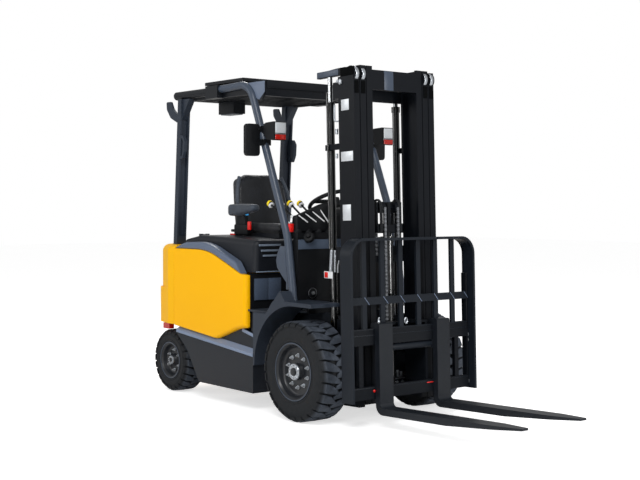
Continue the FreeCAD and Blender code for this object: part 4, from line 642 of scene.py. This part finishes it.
ground_steel, tree, main, where = finish("ground_roller_steel", Metallic=0.9, Base_Color=linear("#C3C8CE"))
turning = add(tree, "TexNoise", {"Vector": where, "Scale": 130, "Detail": 5})
clouded(tree, main, turning.outputs["Fac"], 0.22, 0.4)
STAGES = (
    # body, half width
    ("mast_outer", 0.331),
    ("mast_middle", 0.2795),
)
ROLLER_INSET = 0.023
HALF_GAP = 0.0165
for body, half in STAGES:
    inset = -(half - ROLLER_INSET)
    disc = drum((0.2845, inset, 2.100), (0, 1, 0), 0.0455, 0.027, 0.005, sides=56, steps=3)
    piece(body + "_rollers", on_mast(both_sides(disc)), ground_steel, body)
    cheeks = [drum((0.280, inset + side, 2.099), (0, 1, 0), 0.0505, 0.004, 0.001, sides=48)
              for side in (-HALF_GAP, HALF_GAP)]
    # Matt black slabs of painted shade in the notches under the rollers at the mast head.
    shade_slabs = [slab((0.3152, -(half - 0.007), 1.982), (0.3186, -(half - 0.039), 2.058), 0.0008)]
    if body == "mast_outer":
        shade_slabs.append(slab((0.190, -half, 2.088), (0.3148, -0.319, 2.144), 0.002))
    for kind, parts, paint in (("_roller_cheeks", cheeks, mast_paint), ("_shade_slabs", shade_slabs, notch_shade_paint)):
        piece(body + kind, on_mast(both_sides(joined(parts))), paint, body)

# Blank plates: three plates of thin silver film on the right channel's side, left bare.
# Fine scratches take their shine down to a pale even grey.
label_film, tree, main, where = finish("blank_silver_label_film", Roughness=0.35, Metallic=0.4)
scratch = add(tree, "TexNoise", {"Vector": where, "Scale": 80, "Detail": 7, "Roughness": 0.8})
tinted(tree, main, scratch.outputs["Fac"], "#BFC5CB", "#EEF1F4")
PLATES = (
    # centre x, centre z, width, height
    (0.232, 1.918, 0.072, 0.066),
    (0.243, 1.607, 0.112, 0.058),
    (0.232, 1.268, 0.076, 0.096),
)
PLATE_FACE, PLATE_BACK = -0.3318, -0.3306
plates = []
for at, height, wide, high in PLATES:
    low = (at - wide / 2, PLATE_FACE, height - high / 2)
    plates.append(slab(low, (at + wide / 2, PLATE_BACK, height + high / 2), 0.0004))
piece("mast_blank_plates", on_mast(joined(plates)), label_film, "mast_outer")

# Lift pipes: steel tube of 14 mm down behind each outer channel, with a branch bent in to
# the cylinder's head, in the cylinders' glossy black.
PIPE_X, PIPE_Y = 0.052, -0.322
DOWN = [(PIPE_X, PIPE_Y, z) for z in (2.010, 1.90, 1.50, 1.05)]
BRANCH = ((0.040, -0.300, 1.905), (PIPE_X, -0.316, 1.905), (PIPE_X, PIPE_Y, 1.890), (PIPE_X, PIPE_Y, 1.860))
runs = [pipe(route, 0.007) for route in (DOWN, BRANCH)]
lines = on_mast(both_sides(joined(runs)))
piece("lift_pipes", lines, barrel_paint, "mast_outer", smooth=60)

# Bright fittings: plated steel behind the right channel. They are the bent feed pipe with
# its unions, a hose tail lower down, the lift arm's bolts at the head, and a corrugated
# sleeve with its rod beside the cowl, all small glints against the black mast.
FEED_Y = -0.300
FEED = ((0.186, 1.934), (0.186, 1.860), (0.188, 1.834), (0.215, 1.832), (0.249, 1.832))
TAIL = ((0.196, 0.990), (0.206, 1.012), (0.232, 1.010), (0.236, 0.975), (0.222, 0.945), (0.226, 0.905))
HEXES = (
    # centre, axis, radius, length, bevel
    ((0.249, FEED_Y, 1.832), (1, 0, 0), 0.010, 0.018, 0.002),
    ((0.208, FEED_Y, 1.770), (0, 0, 1), 0.011, 0.034, 0.002),
    ((0.211, FEED_Y, 1.621), (0, 0, 1), 0.009, 0.030, 0.002),
    ((0.281, -0.334, 2.066), (0, 1, 0), 0.019, 0.012, 0.003),
    ((0.256, -0.334, 2.070), (0, 1, 0), 0.011, 0.012, 0.002),
)
fittings = [pipe([(x, FEED_Y, z) for x, z in run], 0.0055) for run in (FEED, TAIL)]
fittings.append(drum((0.196, FEED_Y, 0.975), (0, 0, 1), 0.0055, 0.135, 0.001, sides=16))
for centre, axis, radius, length, edge in HEXES:
    fittings.append(drum(centre, axis, radius, length, edge, sides=6))
for i in range(18):
    ring_at = (0.166 - 0.0006 * i, FEED_Y, 1.040 - 0.0075 * i)
    fittings.append(drum(ring_at, (0, 0, 1), 0.0135, 0.0066, 0.002, sides=24))
piece("mast_bright_fittings", joined(fittings), ground_steel, "mast_outer")

# Tag: a white-painted strip with a red band at its end, left blank, that is clipped to the
# corrugated sleeve low on the mast.
tag = slab((0.092, -0.303, 0.866), (0.176, -0.301, 0.909), 0.0006)
piece("mast_white_tag", tag, white_and_rod_highlight_paint, "mast_outer")
tag_band = slab((0.098, -0.3042, 0.870), (0.130, -0.3028, 0.904), 0.0004)
piece("mast_tag_band", tag_band, red_abs, "mast_outer")

# Mast head: a plate in slate paint welded on the front tie, slate side skins on the lift
# arms, and four rubber hoses of 11 mm that run over the chain yoke in two pairs.
patch = slab((0.3153, -0.085, 2.0125), (0.3166, -0.011, 2.1300), 0.0004)
piece("mast_tie_patch", on_mast(patch), tube_paint_and_rim_highlight, "mast_inner")
arm_skin = slab((-0.088, -0.2876, 2.1140), (0.120, -0.2862, 2.1500), 0.0004)
piece("lift_arm_skins", on_mast(both_sides(arm_skin)), tube_paint_and_rim_highlight, "mast_middle")
OVER_YOKE = ((0.258, 1.150), (0.258, 1.285), (0.252, 1.330), (0.222, 1.352),
             (0.192, 1.330), (0.186, 1.285), (0.186, 1.150))
hoses = []
for level in (-0.084, -0.072, 0.072, 0.084):
    hoses.append(pipe([(x, level, z) for x, z in OVER_YOKE], 0.0055))
piece("yoke_hoses", on_mast(joined(hoses)), rubber_boot, "lift_yoke", smooth=60)

# Backrest screws: plated hexagon heads on washers along the outer side of each post, which
# bolt the backrest to the carriage.
POST_SCREWS = (0.489, 0.455, 0.192)
SCREW_X, SCREW_Y = 0.4095, -0.4985
SCREW_RADIUS = 0.012
screws = []
for height in POST_SCREWS:
    under = (SCREW_X, SCREW_Y + 0.002, height)
    screws.append(drum((SCREW_X, SCREW_Y, height), (0, 1, 0), SCREW_RADIUS, 0.008, 0.002, sides=6))
    screws.append(drum(under, (0, 1, 0), SCREW_RADIUS + 0.004, 0.004, 0.001, sides=24))
piece("backrest_bolts", on_mast(both_sides(joined(screws))), ground_steel, "carriage")

# Rail marks: slanted strokes of pale slate across the backrest's middle rail, thin light
# lines of painted highlight on the plates' edges that break up its long dark face.
RAIL_MARKS = (-0.347, -0.198, -0.061, 0.079, 0.221, 0.362, 0.482)
MARK_LOW, MARK_HIGH = 0.7172, 0.7618
MARK_SLANT = 0.038
marks = []
for level in RAIL_MARKS:
    mark = slab((0.4208, level - 0.0018, MARK_LOW), (0.4224, level + 0.0018, MARK_HIGH), 0.0004)
    for corner in mark.data.vertices:
        corner.co.y -= MARK_SLANT * (corner.co.z - (MARK_LOW + MARK_HIGH) / 2) / (MARK_HIGH - MARK_LOW)
    marks.append(mark)
piece("backrest_rail_highlights", on_mast(joined(marks)), highlight_paint, "carriage")

# Carriage bars: rolled lips along the fork bars' front faces, a cross shaft between two
# bearing blocks, and flat plates that face the backrest's posts, all in black paint.
BAR_LIPS = (0.5705, 0.536, 0.2245)
lips = [slab((0.4206, -0.495, z - 0.0022), (0.4224, 0.495, z + 0.0022), 0.0006) for z in BAR_LIPS]
lips.append(drum((0.4005, 0.015, 0.452), (0, 1, 0), 0.021, 0.330, 0.004))
lips += [slab((0.383, side - 0.012, 0.428), (0.420, side + 0.012, 0.482), 0.004) for side in (-0.162, 0.192)]
piece("fork_bar_lips", on_mast(joined(lips)), rail_paint, "carriage")
facing = slab((0.377, 0.484, 0.165), (0.4215, 0.496, 0.880), 0.003)
piece("backrest_post_plates", on_mast(both_sides(facing)), mast_paint, "carriage")

# Carriage fittings: a bright wire ring and a grease nipple on the upper bar, and two small
# red marks on the lower one, smooth red plastic.
EYE_TURNS = 12
EYE_Y, EYE_Z = -0.024, 0.606
eye_line = []
for i in range(EYE_TURNS + 1):
    turn = math.tau * i / EYE_TURNS
    eye_line.append((0.405, EYE_Y + 0.011 * math.sin(turn), EYE_Z + 0.018 * math.cos(turn)))
eye = pipe(eye_line, 0.0035)
nipple = drum((0.405, -0.243, 0.607), (0, 0, 1), 0.010, 0.028, 0.002, sides=6)
tail = drum((0.405, -0.243, 0.626), (0.3, 0, 1), 0.006, 0.026, 0.002, sides=16)
piece("carriage_eye", on_mast(joined([eye, nipple, tail])), ground_steel, "carriage")
dot = drum((0.4218, -0.302, 0.205), (1, 0, 0), 0.009, 0.006, 0.002, sides=24)
dash = slab((0.4206, 0.128, 0.2135), (0.4224, 0.205, 0.2185), 0.0006)
piece("carriage_red_marks", on_mast(joined([dot, dash])), red_abs, "carriage")

# Valve block: a silver cast block with pipe stubs, bolted low in the mast's window in
# front of the axle case, and the end of the return pipe above it.
block = slab((0.268, 0.036, 0.166), (0.312, 0.190, 0.236), 0.006, steps=3)
ports = [block, pipe(((0.300, 0.214, 0.414), (0.305, 0.250, 0.424), (0.305, 0.300, 0.420)), 0.005)]
for i in range(5):
    stub_at = (0.290, 0.056 + 0.028 * i, 0.244 + 0.010 * (i % 2))
    ports.append(drum(stub_at, (0, 0, 1), 0.010, 0.044, 0.002, sides=6))
for i in range(3):
    ports.append(drum((0.314, 0.067 + 0.046 * i, 0.200), (1, 0, 0), 0.014, 0.010, 0.002, sides=6))
piece("valve_block", joined(ports), ground_steel, "mast_outer")

# Front wheels: a pneumatic-shaped solid tyre with heavy curved lugs that meet in a zigzag
# at the middle. Moulded black rubber, matt in the grooves, with the lug tops painted paler
# in patches as a highlight.


def rubber(name, centre, crown, shade="#14171B", highlight_tone="#4A515C"):
    """Tyre rubber: fine pores, and lug tops beyond the crown radius painted paler in patches as a highlight.
    """
    made, tree, main, where = finish(name, Specular_IOR_Level=0.3)
    from_axle = {"Vector": where, "Location": (-centre[0], 0, -centre[1]), "Scale": (1, 0, 1)}
    moved = add(tree, "Mapping", from_axle)
    spread = add(tree, "VectorMath", {0: moved.outputs["Vector"]}, operation="LENGTH")
    # Lug tops beyond the crown radius get a painted highlight, broken up in patches.
    lug_top = {"Value": spread.outputs["Value"], "From Min": crown - 0.014, "From Max": crown - 0.001}
    out = add(tree, "MapRange", lug_top)
    cloud = add(tree, "TexNoise", {"Vector": where, "Scale": 26, "Detail": 7, "Roughness": 0.7})
    patches = {"Value": cloud.outputs["Fac"], "From Min": 0.3, "From Max": 0.7, "To Min": 0.35}
    patchy = add(tree, "MapRange", patches)
    highlight_mask = add(tree, "Math", {0: out.outputs["Result"], 1: patchy.outputs["Result"]}, operation="MULTIPLY")
    tinted(tree, main, highlight_mask.outputs["Value"], shade, highlight_tone)
    clouded(tree, main, cloud.outputs["Fac"], 0.5, 0.8)
    pores = add(tree, "TexNoise", {"Vector": where, "Scale": 420, "Detail": 2})
    raised(tree, main, pores.outputs["Fac"], 0.35, 0.0006)
    return made


def lathe(profile, centre, steps):
    """A closed ring spun about the Y line through centre from (y, radius) points."""
    bpy.ops.object.select_all(action="DESELECT")
    bpy.ops.mesh.primitive_circle_add(vertices=len(profile), radius=0.1, location=(0, 0, 0))
    bpy.ops.object.transform_apply(location=True, rotation=True, scale=True)
    made = bpy.context.object
    for corner, (across, radius) in zip(made.data.vertices, profile):
        corner.co = (centre[0], across, centre[1] + radius)
    bpy.ops.object.mode_set(mode="EDIT")
    bpy.ops.mesh.select_all(action="SELECT")
    bpy.ops.mesh.spin(steps=steps, angle=math.tau, center=(centre[0], 0, centre[1]), axis=(0, 1, 0))
    bpy.ops.mesh.select_all(action="SELECT")
    bpy.ops.mesh.remove_doubles(threshold=0.00005)
    bpy.ops.mesh.normals_make_consistent(inside=False)
    bpy.ops.object.mode_set(mode="OBJECT")
    return made


def between(table, at):
    """The value at a point of a table of (place, value) pairs."""
    for (a, first), (b, second) in zip(table, table[1:]):
        if at <= b:
            return first + (second - first) * (at - a) / (b - a)
    return table[-1][1]


def lug(centre, outer, wide, crown, pitch):
    """One tread lug: a block from the tyre's shoulder to past its middle, curved as it goes."""
    bpy.ops.object.select_all(action="DESELECT")
    bpy.ops.mesh.primitive_cube_add(size=1, location=(0.5, 0.5, 0.5))
    bpy.ops.object.transform_apply(location=True, rotation=True, scale=True)
    made = bpy.context.object
    bpy.ops.object.mode_set(mode="EDIT")
    bpy.ops.mesh.select_all(action="SELECT")
    bpy.ops.mesh.bevel(offset=0.08, segments=1, affect="EDGES")
    bpy.ops.mesh.select_all(action="SELECT")
    bpy.ops.mesh.subdivide(number_cuts=3)
    bpy.ops.object.mode_set(mode="OBJECT")
    reach = ((0, -0.002), (0.14, 0.003), (0.26, 0.02), (1, wide * 0.56))
    top = ((0, crown - 0.030), (0.14, crown - 0.012), (0.26, crown - 0.002), (1, crown))
    base = ((0, crown - 0.036), (0.14, crown - 0.026), (0.26, crown - 0.019), (1, crown - 0.019))
    girth = ((0, 0.80), (0.3, 0.84), (0.62, 0.80), (0.85, 0.55), (1, 0.22))
    slant = ((0, 0.0), (0.3, 0.02), (0.7, 0.26), (1, 0.55))
    for corner in made.data.vertices:
        along, round_it, up = corner.co
        radius = between(base, along) + (between(top, along) - between(base, along)) * up
        share = (round_it - 0.5) * between(girth, along) * (1.05 - 0.07 * up)
        angle = pitch * (share + between(slant, along))
        across = outer + between(reach, along)
        corner.co = (centre[0] + radius * math.sin(angle), across, centre[1] + radius * math.cos(angle))
    return made


def round_axle(at, height, angle):
    """A turn about a wheel's own axle."""
    to_axle = Matrix.Translation((at, 0, height))
    return to_axle @ Matrix.Rotation(angle, 4, "Y") @ Matrix.Translation((-at, 0, -height))


TYRES = (
    # name, body, axle x, axle height, outer face, width, crown radius, rim radius, lugs
    ("front", "wheel_front", AXLE_X, AXLE_Z, 0.591, 0.228, 0.309, 0.182, 28),
    ("rear", "wheel_rear", -1.363, 0.220, 0.536, 0.176, 0.220, 0.133, 24),
)
for name, wheel_body, at, height, outer, wide, crown, rim, count in TYRES:
    centre = (at, height)
    sweep = math.tau / count
    middle = -outer + wide / 2
    half_profile = (
        # in from the outer face, radius
        (0.012, rim - 0.0105),
        (0.0045, rim - 0.002),
        (0.0015, rim + 0.008),
        (0.0042, rim + 0.014),
        (0.0022, rim + 0.020),
        (0.0006, (rim + crown) / 2),
        (0.0012, crown - 0.050),
        (0.0038, crown - 0.040),
        (0.0030, crown - 0.034),
        (0.010, crown - 0.024),
        (0.026, crown - 0.0185),
        (wide / 2, crown - 0.0175),
    )
    ring = [(-outer + y, r) for y, r in half_profile]
    ring += [(-outer + wide - y, r) for y, r in reversed(half_profile[:-1])]
    carcass = lathe(ring, centre, 96)
    near = lug(centre, -outer, wide, crown, sweep)
    flip = Matrix.Translation((0, 2 * middle, 0)) @ MIRROR_Y
    pair = joined(copies(near, (STAY, round_axle(at, height, sweep / 2) @ flip)))
    lug_turns = [round_axle(at, height, sweep * i) for i in range(count)]
    tread = joined([carcass] + copies(pair, lug_turns))
    paint = rubber(name + "_tyre_rubber_and_lug_highlight", centre, crown)
    for side, place in zip(SIDES, copies(tread, (STAY, MIRROR_Y))):
        piece(f"{name}_tread_{side}", place, paint, f"{wheel_body}_{side}", smooth=35)
        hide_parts(f"{name}_tyre_{side}")

# Rims: pressed steel under a fairly glossy black coat, with washered hexagon nuts on the
# disc, a bright turned hub flange with a ring of small screws, and a black cap. A slate ring
# on the rim's rolled edge is a painted highlight, a thin lighter ring inside the tyre.
rim_paint = stove_paint("rim_black_paint", "#15181D", "#33363B", roughness=0.34, gloss=0.5)
dress(rim_paint, "front_rim_right", "front_rim_left", "rear_rim_right", "rear_rim_left")
HUB_SCREWS = 10
HUBS = (
    # name, body, axle x, axle height, disc y, nut circle, nuts, nut radius,
    # then hub radius, hub y, lip radius and lip y
    ("front", "wheel_front", AXLE_X, AXLE_Z, -0.546, 0.098, 10, 0.0090, 0.050, -0.582, 0.182, -0.5895),
    ("rear", "wheel_rear", -1.363, 0.220, -0.494, 0.072, 6, 0.0080, 0.030, -0.524, 0.133, -0.5345),
)
for name, wheel_body, at, height, face, circle, count, size, hub, hub_y, lip, lip_y in HUBS:
    centre = (at, height)
    nut = drum((at, face - 0.006, height + circle), (0, 1, 0), size, 0.015, 0.002, sides=6)
    stud = drum((at, face - 0.014, height + circle), (0, 1, 0), size * 0.5, 0.014, 0.001, sides=16)
    washer = drum((at, face, height + circle), (0, 1, 0), size * 1.4, 0.006, 0.001, sides=24)
    nut_turns = [round_axle(at, height, math.tau * i / count) for i in range(count)]
    nuts = joined(copies(joined([nut, stud, washer]), nut_turns))
    screw = drum((at, hub_y - 0.002, height + hub * 0.78), (0, 1, 0), 0.0055, 0.008, 0.001, sides=6)
    screw_turns = [round_axle(at, height, math.tau * i / HUB_SCREWS) for i in range(HUB_SCREWS)]
    screws = joined(copies(screw, screw_turns))
    flange_profile = ((hub_y + 0.008, hub * 0.5), (hub_y, hub * 0.52), (hub_y, hub * 0.96),
                      (hub_y + 0.003, hub), (hub_y + 0.012, hub))
    flange = lathe(flange_profile, centre, 48)
    cap = drum((at, hub_y, height), (0, 1, 0), hub * 0.48, 0.016, 0.004, sides=32)
    # The slate ring on the rim's rolled edge is a painted highlight.
    rim_highlight_profile = ((lip_y, lip - 0.010), (lip_y - 0.0007, lip - 0.006), (lip_y + 0.0010, lip - 0.004),
                    (lip_y + 0.0055, lip - 0.006), (lip_y + 0.0055, lip - 0.010))
    edge = lathe(rim_highlight_profile, centre, 72)
    wheel_parts = (
        # piece, mesh, finish
        ("rim_edge_highlight", edge, tube_paint_and_rim_highlight),
        ("hub_nuts", joined([nuts, screws, flange]), ground_steel),
        ("hub_cap", cap, rim_paint),
    )
    for part, mesh, paint in wheel_parts:
        for side, place in zip(SIDES, copies(mesh, (STAY, MIRROR_Y))):
            piece(f"{name}_{part}_{side}", place, paint, f"{wheel_body}_{side}")

# Studio: a pale floor that takes the shadow, and a white world that paint and chrome
# mirror. The camera sees floor and world at full white. Other rays meet them dimmer, so
# that a colour shows about as it is written.
bpy.ops.object.select_all(action="DESELECT")
bpy.ops.mesh.primitive_plane_add(size=60, location=(0, 0, 0))
floor = bpy.context.object
floor.name = "studio_floor"
floor_white, tree, main, where = finish("studio_floor_white", Roughness=0.8, Base_Color=(0.85, 0.85, 0.85, 1))
path = add(tree, "LightPath")
from_camera = path.outputs["Is Camera Ray"]
lit = add(tree, "Emission", {"Color": (1, 1, 1, 1), "Strength": 0.62})
both = add(tree, "AddShader", {0: main.outputs["BSDF"], 1: lit.outputs["Emission"]})
seen = add(tree, "MixShader", {0: from_camera, 1: main.outputs["BSDF"], 2: both.outputs["Shader"]})
tree.links.new(seen.outputs["Shader"], tree.nodes["Material Output"].inputs["Surface"])
floor.data.materials.append(floor_white)

world = bpy.data.worlds.new("studio_world")
bpy.context.scene.world = world
world.use_nodes = True
sky = world.node_tree
path = add(sky, "LightPath")
direct = {0: path.outputs["Is Camera Ray"], 1: path.outputs["Is Transmission Ray"]}
shown = add(sky, "Math", direct, operation="MAXIMUM")
strength = add(sky, "MapRange", {"Value": shown.outputs["Value"], "To Min": 0.42, "To Max": 1.0})
sky.links.new(strength.outputs["Result"], sky.nodes["Background"].inputs["Strength"])
sky.nodes["Background"].inputs["Color"].default_value = (1, 1, 1, 1)

# Lamps: large soft boxes for the key, the side and the rim, a tall narrow one that draws
# the lines of light on the cylinders, and one that lifts the forks and tyres from ahead.
LIGHTS = (
    # name, place, aimed at, width, height, watts
    ("key", (4.5, -5.0, 6.5), (0, 0, 0.9), 3.0, 3.0, 330),
    ("side", (-4.5, -6.0, 3.5), (-0.5, 0, 0.8), 3.0, 3.0, 70),
    ("rim", (-5.0, 3.5, 6.0), (0, 0, 1.2), 2.5, 2.5, 160),
    ("strip", (2.2, -6.5, 1.6), (0.2, 0, 1.1), 0.3, 3.0, 60),
    ("front", (6.5, 1.5, 2.2), (0.3, 0, 1.1), 0.9, 3.0, 150),
)
for name, place, target, width, height, power in LIGHTS:
    bpy.ops.object.light_add(type="AREA", location=place)
    lamp = bpy.context.object
    lamp.name = name + "_light"
    lamp.data.shape = "RECTANGLE"
    lamp.data.size = width
    lamp.data.size_y = height
    lamp.data.energy = power
    lamp.rotation_euler = (Vector(target) - Vector(place)).to_track_quat("-Z", "Y").to_euler()

# Camera: solved together with the truck's sizes from points of the photo. It stands off the
# truck's right front corner, 1.3 m above the floor, and looks very slightly down.
PHOTO_WIDE, PHOTO_HIGH = 640, 480
FOCAL_PX, CENTRE_PX = 1178.38, (320.90, 247.73)
CAMERA_PLACE = (5.8013, -4.8935, 1.32519)
YAW, PITCH, ROLL = (math.radians(angle) for angle in (38.642, -2.114, 0.129))
ahead = Vector((-math.cos(YAW), math.sin(YAW), 0))
right = Vector((math.sin(YAW), math.cos(YAW), 0))
upward = Vector((0, 0, 1))
look = ahead * math.cos(PITCH) + upward * math.sin(PITCH)
lifted = upward * math.cos(PITCH) - ahead * math.sin(PITCH)
across = right * math.cos(ROLL) + lifted * math.sin(ROLL)
over = lifted * math.cos(ROLL) - right * math.sin(ROLL)
bpy.ops.object.camera_add()
camera = bpy.context.object
camera.data.sensor_width = 36
camera.data.lens = 36 * FOCAL_PX / PHOTO_WIDE
camera.data.shift_x = (PHOTO_WIDE / 2 - CENTRE_PX[0]) / PHOTO_WIDE
camera.data.shift_y = (CENTRE_PX[1] - PHOTO_HIGH / 2) / PHOTO_WIDE
turn = Matrix((across, over, -look)).transposed()
camera.matrix_world = Matrix.Translation(CAMERA_PLACE) @ turn.to_4x4()
camera.data.clip_end = 100
bpy.context.scene.camera = camera
bpy.context.scene.view_settings.view_transform = "Standard"
